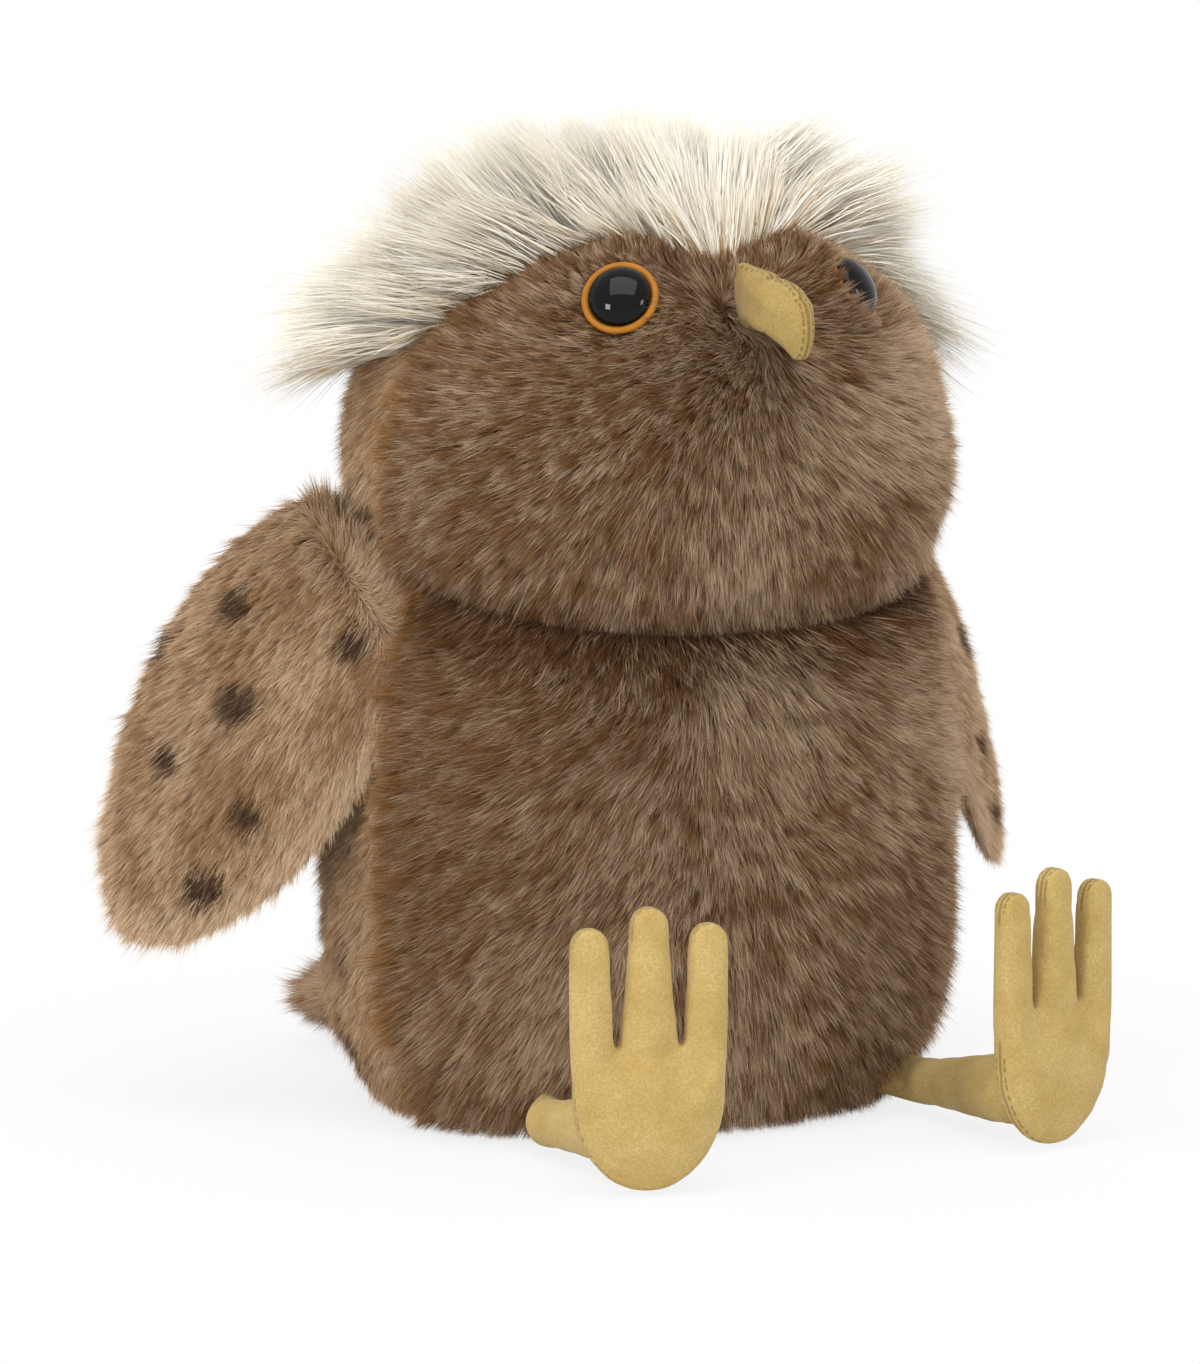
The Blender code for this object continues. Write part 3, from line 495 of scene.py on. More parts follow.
    any_tone = maths("SUBTRACT", chance("FLOAT", 0.0, 1.0, 67), 0.5)
    stray_tone = maths("MULTIPLY", any_tone, given["Tone Spread"])
    group_tone = maths("MULTIPLY", tuft_axes.outputs[0], given["Tone Spread"])
    shade = maths("ADD", named("tone"), maths("ADD", stray_tone, group_tone))
    # A marked fibre takes the second colour set; by the neck on the brown pile it is painted shade in the
    # crease.
    dye_and_shade_class = maths("LESS_THAN", chance("FLOAT", 0.0, 1.0, 71), named("mark"))
    at_edge = maths("LESS_THAN", chance("FLOAT", 0.0, 1.0, 73), named("edge"))
    dye_and_shade_class = maths("MAXIMUM", dye_and_shade_class, maths("MULTIPLY", at_edge, 2.0))
    inside = node(tree, "ShaderNodeClamp")
    tree.links.new(maths("ADD", shade, dye_and_shade_class), inside.inputs["Value"])
    tree.links.new(maths("ADD", dye_and_shade_class, 0.02), inside.inputs["Min"])
    tree.links.new(maths("ADD", dye_and_shade_class, 0.98), inside.inputs["Max"])
    label = node(tree, "GeometryNodeStoreNamedAttribute", data_type="FLOAT", domain="INSTANCE")
    label.inputs["Name"].default_value = "shade"
    tree.links.new(grow.outputs[0], label.inputs["Geometry"])
    tree.links.new(inside.outputs[0], value_socket(label))
    real = node(tree, "GeometryNodeRealizeInstances")
    tree.links.new(label.outputs[0], real.inputs[0])

    across = node(tree, "ShaderNodeSeparateXYZ")
    tree.links.new(named("fibre", "FLOAT_VECTOR"), across.inputs[0])
    slim = maths("MULTIPLY", maths("SUBTRACT", across.outputs[0], 0.5), 0.004)
    where = node(tree, "ShaderNodeCombineXYZ")
    tree.links.new(maths("DIVIDE", maths("ADD", named("shade"), slim), 3.0), where.inputs[0])
    tree.links.new(across.outputs[1], where.inputs[1])
    lay_out = node(tree, "GeometryNodeStoreNamedAttribute", data_type="FLOAT2", domain="CORNER")
    lay_out.inputs["Name"].default_value = "OFBake"
    tree.links.new(real.outputs[0], lay_out.inputs["Geometry"])
    tree.links.new(where.outputs[0], value_socket(lay_out))

    spot = node(tree, "ShaderNodeSeparateXYZ")
    tree.links.new(node(tree, "GeometryNodeInputPosition").outputs[0], spot.inputs[0])
    lifted = node(tree, "ShaderNodeCombineXYZ")
    tree.links.new(spot.outputs[0], lifted.inputs[0])
    tree.links.new(spot.outputs[1], lifted.inputs[1])
    tree.links.new(maths("MAXIMUM", spot.outputs[2], given["Floor"]), lifted.inputs[2])
    settle = node(tree, "GeometryNodeSetPosition")
    tree.links.new(lay_out.outputs[0], settle.inputs["Geometry"])
    tree.links.new(lifted.outputs[0], settle.inputs["Position"])
    finish = node(tree, "GeometryNodeSetMaterial")
    tree.links.new(settle.outputs[0], finish.inputs["Geometry"])
    tree.links.new(given["Finish"], finish.inputs["Material"])
    tree.links.new(finish.outputs[0], node(tree, "NodeGroupOutput").inputs[0])
    return tree


PILE = pile_tree()
SHORT_FIBRES = fibre_set("short_fibre", 1, ((0.0, 0.06), (0.0, 0.0), (0.0, -0.06)))
LONG_FIBRES = fibre_set("long_fibre", 2, ((0.07, 0.05), (0.03, -0.10), (0.10, 0.12)))
QUICK_SHARE = 1.0


def grow_pile(name, cloths, nap, seed):
    """One object of fibres grown from scalp meshes, which are used up. The nap gives the tree's inputs
    by name, for a pile at full density."""
    bm = bmesh.new()
    for cloth in cloths:
        bm.from_mesh(cloth)
        bpy.data.meshes.remove(cloth)
    scalp = bpy.data.meshes.new(name + "_scalp")
    bm.to_mesh(scalp)
    bm.free()
    grower = add_object(name + "_scalp", scalp)
    modifier = grower.modifiers.new("pile", "NODES")
    modifier.node_group = PILE
    values = {"Shortest": 0.7, "Floor": FUR_FLOOR, "Ceiling": 1.0, "Seed": seed, **nap}
    values["Density"] *= QUICK_SHARE
    values["Width"] /= math.sqrt(QUICK_SHARE)
    for item in PILE.interface.items_tree:
        if item.name in values:
            modifier[item.identifier] = values[item.name]
    bpy.context.view_layer.update()
    graph = bpy.context.evaluated_depsgraph_get()
    mesh = bpy.data.meshes.new_from_object(grower.evaluated_get(graph), depsgraph=graph)
    mesh.name = name
    bpy.data.objects.remove(grower)
    bpy.data.meshes.remove(scalp)
    for key in ("comb", "pile", "tone", "thick", "mark", "edge", "shade", "fibre"):
        if key in mesh.attributes:
            mesh.attributes.remove(mesh.attributes[key])
    mesh.shade_smooth()
    return add_object(name, mesh)


# Fibre colours. Each third of a fibre map across is one colour set of a cloth: its ground, its marks,
# which on the brown pile also paint shade in the neck's crease, and the darker or golden fibres along
# its seams. Up it run root to tip.
DEEP_SHADE = 0.12
PALE_SHADE = 0.78


def mixed(tree, factor, low, high):
    """A mix of two colours by a factor. Each is a socket or a plain value."""
    made = node(tree, "ShaderNodeMix", data_type="RGBA")
    for i, source in ((0, factor), (6, low), (7, high)):
        if isinstance(source, bpy.types.NodeSocket):
            tree.links.new(source, made.inputs[i])
        else:
            made.inputs[i].default_value = source if i == 0 else (*source, 1)
    return made.outputs[2]


def dye_and_shade_group():
    """Colour of a fibre from its shade across and its height up, for three colour sets in turn: ground,
    marks (on the brown pile also painted shade in the neck's crease) and edge.
    """
    tree = bpy.data.node_groups.new("fibre dye", "ShaderNodeTree")
    for name in ("Root", "Deep Tip", "Pale Tip", "Mark Root", "Mark Tip", "Edge Root", "Edge Tip"):
        tree.interface.new_socket(name, in_out="INPUT", socket_type="NodeSocketColor")
    rise = tree.interface.new_socket("Rise", in_out="INPUT", socket_type="NodeSocketFloat")
    rise.default_value = 1.0
    tree.interface.new_socket("Color", in_out="OUTPUT", socket_type="NodeSocketColor")
    given = node(tree, "NodeGroupInput").outputs
    chart = node(tree, "ShaderNodeUVMap", uv_map="OFBake")
    axes = node(tree, "ShaderNodeSeparateXYZ")
    tree.links.new(chart.outputs[0], axes.inputs[0])
    maths = maths_in(tree)
    dye_and_shade_class = maths("MULTIPLY", axes.outputs[0], 3.0)
    up = maths("POWER", axes.outputs[1], given["Rise"])
    parted = node(tree, "ShaderNodeMapRange", interpolation_type="SMOOTHSTEP")
    parted.inputs["From Min"].default_value = DEEP_SHADE
    parted.inputs["From Max"].default_value = PALE_SHADE
    tree.links.new(maths("FRACT", dye_and_shade_class), parted.inputs["Value"])
    tip = mixed(tree, parted.outputs["Result"], given["Deep Tip"], given["Pale Tip"])
    ground = mixed(tree, up, given["Root"], tip)
    # The mark colours, which on the brown pile also give painted shade in the neck's crease.
    marks = mixed(tree, up, given["Mark Root"], given["Mark Tip"])
    edge = mixed(tree, up, given["Edge Root"], given["Edge Tip"])
    marked = mixed(tree, maths("GREATER_THAN", dye_and_shade_class, 1.0), ground, marks)
    colour = mixed(tree, maths("GREATER_THAN", dye_and_shade_class, 2.0), marked, edge)
    tree.links.new(colour, node(tree, "NodeGroupOutput").inputs[0])
    return tree


DYE_AND_SHADE = dye_and_shade_group()


def fibre_material(name, rise, sheen, roughness, **colours):
    """A pile's finish, with its colours by name; on the brown pile the mark colours also paint crease shade."""
    material, tree, surface = new_material(name)
    dyed = node(tree, "ShaderNodeGroup", node_tree=DYE_AND_SHADE)
    for key, colour in colours.items():
        dyed.inputs[key.replace("_", " ").title()].default_value = (*colour, 1)
    dyed.inputs["Rise"].default_value = rise
    tree.links.new(dyed.outputs[0], surface.inputs["Base Color"])
    surface.inputs["Roughness"].default_value = roughness
    surface.inputs["Specular IOR Level"].default_value = 0.25
    surface.inputs["Sheen Weight"].default_value = sheen
    surface.inputs["Sheen Roughness"].default_value = 0.5
    return material


BROWN_PILE = fibre_material(
    "brown pile", 1.2, 0.03, 0.6,
    root=(0.10, 0.038, 0.010), deep_tip=(0.20, 0.086, 0.024), pale_tip=(0.66, 0.48, 0.31),
    # Mark colours: dark fibres along the brow, and painted shade in the neck's crease under the chin and over
    # the belly.
    mark_root=(0.045, 0.018, 0.006), mark_tip=(0.15, 0.06, 0.016),
    edge_root=(0.15, 0.058, 0.012), edge_tip=(0.36, 0.165, 0.036),
)
TAN_PILE = fibre_material(
    "spotted tan pile", 0.9, 0.05, 0.65,
    root=(0.25, 0.13, 0.055), deep_tip=(0.36, 0.195, 0.082), pale_tip=(0.78, 0.57, 0.36),
    mark_root=(0.045, 0.02, 0.01), mark_tip=(0.105, 0.05, 0.024),
    edge_root=(0.44, 0.28, 0.155), edge_tip=(0.74, 0.54, 0.35),
)
PALE_TAN_PILE = fibre_material(
    "plain tan pile", 0.8, 0.05, 0.65,
    root=(0.36, 0.22, 0.12), deep_tip=(0.52, 0.35, 0.21), pale_tip=(0.74, 0.56, 0.39),
    mark_root=(0.30, 0.18, 0.10), mark_tip=(0.47, 0.31, 0.18),
    edge_root=(0.30, 0.18, 0.10), edge_tip=(0.47, 0.31, 0.18),
)
IVORY_PILE = fibre_material(
    "ivory long pile", 0.5, 0.35, 0.6,
    root=(0.90, 0.84, 0.71), deep_tip=(0.90, 0.845, 0.72), pale_tip=(0.92, 0.88, 0.79),
    mark_root=(0.80, 0.68, 0.48), mark_tip=(0.88, 0.80, 0.64),
    edge_root=(0.30, 0.14, 0.045), edge_tip=(0.50, 0.31, 0.14),
)


# Plush bodies. Under the pile, the body and the head are closed forms of cloth, stuffed firm. They are
# dyed as their pile is at the root, and meet at the slanted seam of the neck.
FORM_ANGLES = 128
FORM_ROWS = 72
NECK_GAP = 0.0006
PATCH_SCALE = 50
KNIT_SCALE = 1500
KNIT_DEPTH = 0.0003


def clouded(tree, scale, detail=2):
    """Noise on the piece's own coordinates, from 0 to 1."""
    made = node(tree, "ShaderNodeTexNoise")
    made.inputs["Scale"].default_value = scale
    made.inputs["Detail"].default_value = detail
    tree.links.new(node(tree, "ShaderNodeTexCoord").outputs["Object"], made.inputs["Vector"])
    return made.outputs["Fac"]


def raise_surface(tree, surface, height, strength, depth):
    """Puts a height into the surface's relief."""
    relief = node(tree, "ShaderNodeBump")
    relief.inputs["Strength"].default_value = strength
    relief.inputs["Distance"].default_value = depth
    tree.links.new(height, relief.inputs["Height"])
    tree.links.new(relief.outputs[0], surface.inputs["Normal"])


def cloth_material(name, dark, light):
    """Backing cloth between two near colours, with a fine knit in relief."""
    material, tree, surface = new_material(name)
    patches = clouded(tree, PATCH_SCALE, 4)
    tree.links.new(mixed(tree, patches, dark, light), surface.inputs["Base Color"])
    raise_surface(tree, surface, clouded(tree, KNIT_SCALE), 0.4, KNIT_DEPTH)
    surface.inputs["Roughness"].default_value = 0.9
    surface.inputs["Sheen Weight"].default_value = 0.1
    return material


BROWN_CLOTH = cloth_material("brown backing", (0.05, 0.024, 0.011), (0.10, 0.05, 0.024))
TAN_CLOTH = cloth_material("tan backing", (0.28, 0.165, 0.085), (0.40, 0.25, 0.14))
PALE_TAN_CLOTH = cloth_material("plain tan backing", (0.33, 0.21, 0.13), (0.43, 0.29, 0.19))
IVORY_CLOTH = cloth_material("ivory backing", (0.76, 0.68, 0.52), (0.84, 0.77, 0.62))


def sealed(mesh):
    """The mesh with its poles and seams closed and its faces turned outwards."""
    bm = bmesh.new()
    bm.from_mesh(mesh)
    bmesh.ops.remove_doubles(bm, verts=bm.verts, dist=2e-6)
    bmesh.ops.recalc_face_normals(bm, faces=bm.faces)
    bm.to_mesh(mesh)
    bm.free()
    mesh.shade_smooth()
    return mesh


def stuffed_form(lobe, low, high):
    """A closed form between two climbs, as rows of points."""
    angle = np.linspace(-math.pi, math.pi, FORM_ANGLES, endpoint=False)[None, :]
    climb = np.linspace(low, high, FORM_ROWS)[:, None]
    return lobe_points(lobe, angle + 0 * climb, climb + 0 * angle, SCALP_INSET)


def with_poles(points):
    """Rows with a row added at each end, where all points meet in the middle."""
    ends = [np.broadcast_to(row.mean(axis=0), row.shape) for row in (points[0], points[-1])]
    return np.concatenate([ends[0][None], points, ends[1][None]])


def neck_level(points):
    return NECK_HEIGHT + points[..., 1] * math.tan(NECK_TILT)


def dress(form, finishes, choose):
    """Gives each face one of the finishes."""
    for finish in finishes:
        form.data.materials.append(finish)
    for face in form.data.polygons:
        face.material_index = choose(face.center)


FORM_TOP = math.radians(89)
SEAT_EDGE = 0.003
body_points = stuffed_form(BODY_LOBE, climb_at(BODY_LOBE, BODY_FOOT), FORM_TOP)
body_points[..., 2] = np.clip(body_points[..., 2], BODY_FOOT, neck_level(body_points) - NECK_GAP)
body_points = with_poles(body_points)
body_points[0, :, 2] = 0.0
body_plush = add_object("body_plush", sealed(grid_mesh("body_plush", body_points, True)))
dress(
    body_plush, (BROWN_CLOTH, TAN_CLOTH),
    lambda p: int(abs(math.atan2(p.x, -p.y)) > BODY_SEAM or p.z < SEAT_EDGE),
)
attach(body_plush, "body")
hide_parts("body_filling", "seat_panel")


# Belly and face. Brown pile about 12 mm long, brown at the root and grey beige at the tip, is laid
# outwards and down from the middle of the neck and the beak, with golden fibres at the side seams.
BROWN_NAP = {
    "Fibres": SHORT_FIBRES, "Finish": BROWN_PILE, "Density": 7.0e6, "Length": 0.0115, "Width": 0.00036,
    "Tuft Size": 0.0028, "Tuft Pull": 0.8, "Stray": 0.22, "Tuft Stray": 0.35, "Tone Spread": 0.8,
}
NECK_LAP = 0.003
HEM = 0.002
PANEL_ROWS = 90
PANEL_COLUMNS = 60
EYE_ANGLES = {-1: math.radians(36.6), 1: math.radians(32.5)}
EYE_CLIMB = math.radians(48.8)
EYE_TURN = math.radians(48)
EYE_RISE = math.radians(38)
EYE_LIFT = 0.0022
EYE_DENT = 0.026
EYE_BARE = 0.0095


def lay_nap(flow, around, upward, outward, lift):
    """Comb vectors along a flow over the surface, raised off it by the lift."""
    along = unit(around * flow[..., :1] + upward * flow[..., 1:])
    return along * np.cos(lift)[..., None] + outward * np.sin(lift)[..., None]


def panel_grid(start, end, low, high):
    """Angles and climbs over a panel, between two edges that give their climb at an angle."""
    share = np.linspace(0, 1, PANEL_ROWS)[:, None]
    angle = np.linspace(start, end, PANEL_COLUMNS)[None, :] + 0 * share
    return angle, low(angle) + (high(angle) - low(angle)) * share


def head_cloths(mesh):
    """Moves a scalp from the head's own frame to its place, nap and all."""
    held = np.zeros(len(mesh.vertices) * 3, np.float32)
    combs = mesh.attributes["comb"].data
    combs.foreach_get("vector", held)
    combs.foreach_set("vector", turned(HEAD_PLACE, held.reshape(-1, 3)).astype(np.float32).ravel())
    mesh.transform(HEAD_PLACE)
    return mesh


def brown_streaks_and_side_shade(points, seed):
    """Pale and dark streaks in broad patches, with painted shade darkening the owl's left side."""
    patches = noise_at(points, 0.07, seed) * noise_at(points * [1, 1, 0.6], 0.022, seed + 1)
    # The term in x is painted shade: lighter towards the owl's right and darker towards its left.
    return np.clip(0.17 + 0.75 * patches - 0.9 * np.clip(points[..., 0] - 0.02, -0.08, 0.08), 0, 0.9)


def eye_axis(side):
    """The middle of an eye's back in the head's frame, and the way that it looks."""
    spot = (np.array(side * EYE_ANGLES[side]), np.array(EYE_CLIMB))
    out = np.array((side * math.sin(EYE_TURN), -math.cos(EYE_TURN), math.tan(EYE_RISE)))
    return lobe_points(HEAD_LOBE, *spot, -EYE_LIFT), out / np.linalg.norm(out)


def eased(share):
    share = np.clip(share, 0, 1)
    return share * share * (3 - 2 * share)


def pulled_to_eyes(points):
    """Cloth in the head's frame, drawn against the back of each eye."""
    points = points.copy()
    for side in (-1, 1):
        centre, out = eye_axis(side)
        rise = (points - centre) @ out
        aside = np.linalg.norm(points - centre - rise[..., None] * out, axis=-1)
        near = eased((EYE_DENT - aside) / 0.014) * (rise > -0.03)
        points += out * ((-0.0012 - rise) * near)[..., None]
    return points


def from_eye(points):
    """How far points lie from the nearer eye's axis."""
    gaps = []
    for side in (-1, 1):
        centre, out = eye_axis(side)
        rise = (points - centre) @ out
        gaps.append(np.linalg.norm(points - centre - rise[..., None] * out, axis=-1))
    return np.minimum(*gaps)


def golden_edge(points, angle, seam, seed, side):
    """The chance of a golden fibre near the side seam, which is broader on the owl's left."""
    away = np.abs(seam - np.abs(angle)) + 0.08 * (noise_at(points, 0.02, seed) - 0.5)
    return np.clip(0.95 - away / (0.22 + 0.10 * side), 0, 0.8)


def body_neck(angle):
    """The climb of the slanted neck round the body, with a lap past it."""
    return climb_on_plane(BODY_LOBE, angle, NECK_HEIGHT + NECK_LAP, math.tan(NECK_TILT))


def body_hem(angle):
    """The climb of the hem just off the floor, the same all round."""
    return climb_at(BODY_LOBE, BODY_FOOT + HEM) + 0 * angle


def head_neck(angle):
    """The climb of the slanted neck round the head, with a lap past it."""
    return climb_on_plane(HEAD_LOBE, angle, -NECK_LAP, math.tan(NECK_TILT - HEAD_TILT))


def out_of_crease(comb, angle, fall, near):
    """Turns a comb level outwards, with a fall, where it is near the neck's crease."""
    level = np.stack([np.sin(angle), -np.cos(angle), -fall + 0 * angle], axis=-1)
    return unit(comb * (1 - near[..., None]) + unit(level) * near[..., None])


def belly_scalp(side):
    """One half of the belly, from the middle out to the side seam."""
    angle, climb = panel_grid(0, side * BODY_SEAM, body_hem, body_neck)
    points = lobe_points(BODY_LOBE, angle, climb, SCALP_INSET)
    around, upward, outward = lobe_frame(BODY_LOBE, angle, climb)
    top = climb_at(BODY_LOBE, NECK_HEIGHT)
    flow = np.stack([angle * 1.15, np.minimum(climb - top, -0.2) - 0.15], axis=-1)
    flow += 0.35 * (np.stack([noise_at(points, 0.022, 3), noise_at(points, 0.022, 4)], axis=-1) - 0.5)
    lift = 0.30 + 0.25 * noise_at(points, 0.03, 5) + 0.35 * (np.abs(angle) / BODY_SEAM) ** 6
    below_neck = body_neck(angle) - climb
    near_neck = eased((0.16 - below_neck) / 0.12) * 0.75
    nap = lay_nap(flow, around, upward, outward, lift)
    mesh = grid_mesh("belly_scalp", points)
    paint(
        mesh,
        comb=out_of_crease(nap, angle, 0.5, near_neck),
        pile=0.85 + 0.3 * noise_at(points, 0.03, 6),
        tone=brown_streaks_and_side_shade(points, 7),
        # Painted shade: dark marked fibres in a band just under the neck's crease.
        mark=np.clip(0.7 - below_neck / 0.12, 0, 0.6),
        edge=golden_edge(points, angle, BODY_SEAM, 9, side),
        thick=np.ones(angle.shape),
    )
    return mesh


def face_scalp(side):
    """One half of the face, parted round the eye, with its fur fringed upwards at the brow."""
    angle, climb = panel_grid(0, side * HEAD_SEAM, head_neck, brow_climb)
    points = pulled_to_eyes(lobe_points(HEAD_LOBE, angle, climb, SCALP_INSET))
    around, upward, outward = lobe_frame(HEAD_LOBE, angle, climb)
    flow = np.stack([angle * 1.1 + side * 0.02, (climb - math.radians(46)) * 0.9 - 0.12], axis=-1)
    flow += 0.3 * (np.stack([noise_at(points, 0.022, 13), noise_at(points, 0.022, 14)], axis=-1) - 0.5)
    eye = from_eye(points)
    lift = 0.30 + 0.25 * noise_at(points, 0.03, 15) + 0.3 * (np.abs(angle) / HEAD_SEAM) ** 6
    brow = brow_climb(angle) - climb
    lift = lift + 0.5 * eased((0.12 - brow) / 0.12)
    flow[..., 1] += 1.6 * eased((0.14 - brow) / 0.1)
    chin = climb - head_neck(angle)
    around_eyes = np.clip((eye - 0.006) / 0.014, 0.3, 1)
    if side > 0:
        beakward = np.clip((EYE_ANGLES[1] - 0.02 - angle) / 0.08, 0, 1) * eased((0.024 - eye) / 0.008)
        around_eyes = np.maximum(around_eyes, 0.85 * beakward * np.clip((eye - 0.009) / 0.002, 0, 1))
        lift = lift + 0.7 * beakward
    near_neck = eased((0.30 - chin) / 0.2) * 0.8
    nap = lay_nap(flow, around, upward, outward, lift)
    brow_gold = np.clip(0.8 - brow / 0.08, 0, 0.6)
    mesh = grid_mesh("face_scalp", points)
    paint(
        mesh,
        comb=out_of_crease(nap, angle, 1.2, near_neck),
        pile=(0.8 + 0.25 * noise_at(points, 0.03, 16)) * around_eyes * np.clip(0.6 + brow, 0, 1),
        tone=brown_streaks_and_side_shade(points, 17),
        # Dark marked fibres along the brow seam, and painted shade in a band just over the neck's crease under
        # the chin.
        mark=np.clip(np.maximum(0.95 - brow / 0.10, 0.6 - chin / 0.12), 0, 0.9),
        edge=np.maximum(golden_edge(points, angle, HEAD_SEAM, 19, side), brow_gold),
        thick=np.clip((eye - EYE_BARE) / 0.002, 0, 1),
    )
    return head_cloths(mesh)


head_points = stuffed_form(HEAD_LOBE, -FORM_TOP, FORM_TOP)
head_points = moved(HEAD_PLACE, pulled_to_eyes(head_points))
head_points[..., 2] = np.maximum(head_points[..., 2], neck_level(head_points) + NECK_GAP)
head_plush = add_object("head_plush", sealed(grid_mesh("head_plush", with_poles(head_points), True)))
FROM_HEAD = HEAD_PLACE.inverted()


def head_cloth(point):
    """0 under the face, 1 under the nape and 2 under the crown."""
    local = FROM_HEAD @ point
    angle = math.atan2(local.x, -local.y)
    girth = math.hypot(local.x / HEAD_LOBE.half_width, local.y / HEAD_LOBE.front)
    climb = math.atan2((local.z - HEAD_LOBE.widest) / HEAD_LOBE.above, girth)
    if climb > float(brow_climb(np.array(angle))):
        return 2
    return int(abs(angle) > HEAD_SEAM)


dress(head_plush, (BROWN_CLOTH, TAN_CLOTH, IVORY_CLOTH), head_cloth)
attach(head_plush, "head")
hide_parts("head_filling")

for side_name, side in BOTH_SIDES:
    pile = grow_pile(f"belly_pile_{side_name}", [belly_scalp(side)], BROWN_NAP, 100 + side)
    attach(pile, "body")
    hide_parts(f"belly_panel_{side_name}")
    pile = grow_pile(f"face_pile_{side_name}", [face_scalp(side)], BROWN_NAP, 110 + side)
    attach(pile, "head")
    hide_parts(f"face_panel_{side_name}")


# Back and nape. Short tan pile with soft dark spots, some 10 mm across, laid down and a little back.
TAN_NAP = {
    "Fibres": SHORT_FIBRES, "Finish": TAN_PILE, "Density": 6.0e6, "Length": 0.0075, "Width": 0.00034,
    "Tuft Size": 0.0024, "Tuft Pull": 0.7, "Stray": 0.25, "Tuft Stray": 0.35, "Tone Spread": 0.7,
}
SPOT_RADIUS = 0.0062
SPOT_SPACING = 0.036
SPOT_STRETCH = (1, 1, 1.35)
SIDE_SPOTS = ((101, 35), (115, 38), (80, 4), (97, -11), (78, -36), (112, 12))
NAPE_SPOTS = ((94, -18),)


def spotted(points, centres, radii):
    """The chance of a dark fibre: high in each spot and soft at its rim."""
    most = np.zeros(points.shape[:-1])
    for centre, radius in zip(centres, radii):
        gap = (points - centre) / SPOT_STRETCH
        away = np.linalg.norm(gap, axis=-1) / radius + 0.5 * (noise_at(points, 0.008, 31) - 0.5)
        most = np.maximum(most, np.clip((1.25 - away) / 0.6, 0, 0.95))
    return most


def spaced_spots(points, first, spacing, seed):
    """Seeded places over a cloth's points, none within the spacing of another."""
    chance = np.random.default_rng(seed)
    flat = points.reshape(-1, 3)
    places = [np.array(p) for p in first]
    for pick in chance.integers(0, len(flat), 400):
        if all(np.linalg.norm(flat[pick] - place) > spacing for place in places):
            places.append(flat[pick])
    return places, chance.uniform(0.75, 1.15, len(places)) * SPOT_RADIUS


def tan_scalp(lobe, side, seam, low, high, spots, seed):
    """One half of the tan cloth behind a side seam."""
    angle, climb = panel_grid(side * seam, side * math.pi, low, high)
    points = lobe_points(lobe, angle, climb, SCALP_INSET * 0.8)
    around, upward, outward = lobe_frame(lobe, angle, climb)
    first = [
        lobe_points(lobe, np.array(side * math.radians(round_to)), np.array(math.radians(up_to)))
        for round_to, up_to in spots
    ]
    places, radii = spaced_spots(points, first, SPOT_SPACING, seed)
    flow = np.stack([side * 0.25 + 0 * angle, -1 + 0 * angle], axis=-1)
    lift = 0.32 + 0.3 * noise_at(points, 0.025, seed + 1)
    neck = np.minimum(climb - low(angle), 9) if lobe is HEAD_LOBE else high(angle) - climb
    near_neck = eased((0.26 - neck) / 0.16) * 0.85
    nap = lay_nap(flow, around, upward, outward, lift)
    mesh = grid_mesh("tan_scalp", points)
    paint(
        mesh,
        comb=out_of_crease(nap, angle, 0.5, near_neck),
        pile=0.85 + 0.3 * noise_at(points, 0.03, seed + 2),
        tone=0.25 + 0.5 * noise_at(points, 0.03, seed + 3),
        mark=spotted(points, places, radii),
        edge=0 * angle,
        thick=np.ones(angle.shape),
    )
    return mesh


for side_name, side in BOTH_SIDES:
    cloth = tan_scalp(BODY_LOBE, side, BODY_SEAM, body_hem, body_neck, SIDE_SPOTS, 40 + side)
    pile = grow_pile(f"back_pile_{side_name}", [cloth], TAN_NAP, 120 + side)
    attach(pile, "body")
    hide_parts(f"back_panel_{side_name}")
    cloth = tan_scalp(HEAD_LOBE, side, HEAD_SEAM, head_neck, brow_climb, NAPE_SPOTS, 50 + side)
    pile = grow_pile(f"nape_pile_{side_name}", [head_cloths(cloth)], TAN_NAP, 130 + side)
    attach(pile, "head")
    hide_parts(f"nape_panel_{side_name}")


# Crown. Ivory pile of about 40 mm stands up and out from the brow seam round to the back of the head,
# and draws together in soft points. It is longer and spreads wider on the owl's left.
CROWN_NAP = {
    "Fibres": LONG_FIBRES, "Finish": IVORY_PILE, "Density": 5.0e6, "Length": 0.037, "Width": 0.00056,
    "Tuft Size": 0.0095, "Tuft Pull": 0.95, "Stray": 0.12, "Tuft Stray": 0.40, "Tone Spread": 0.35,
    "Shortest": 0.35, "Ceiling": 0.3124,
}
CROWN_TOP = math.radians(88.5)
CROWN_QUARTERS = (
    ("front_right", -90, 0), ("front_left", 0, 90), ("back_right", -180, -90), ("back_left", 90, 180),
)
RIGHT_SPREAD = 0.35
LEFT_SPREAD = 1.3
LEFT_GROWTH = 0.35
BEAK_ROOT = lobe_points(HEAD_LOBE, np.array(0.0), np.array(math.radians(53)))


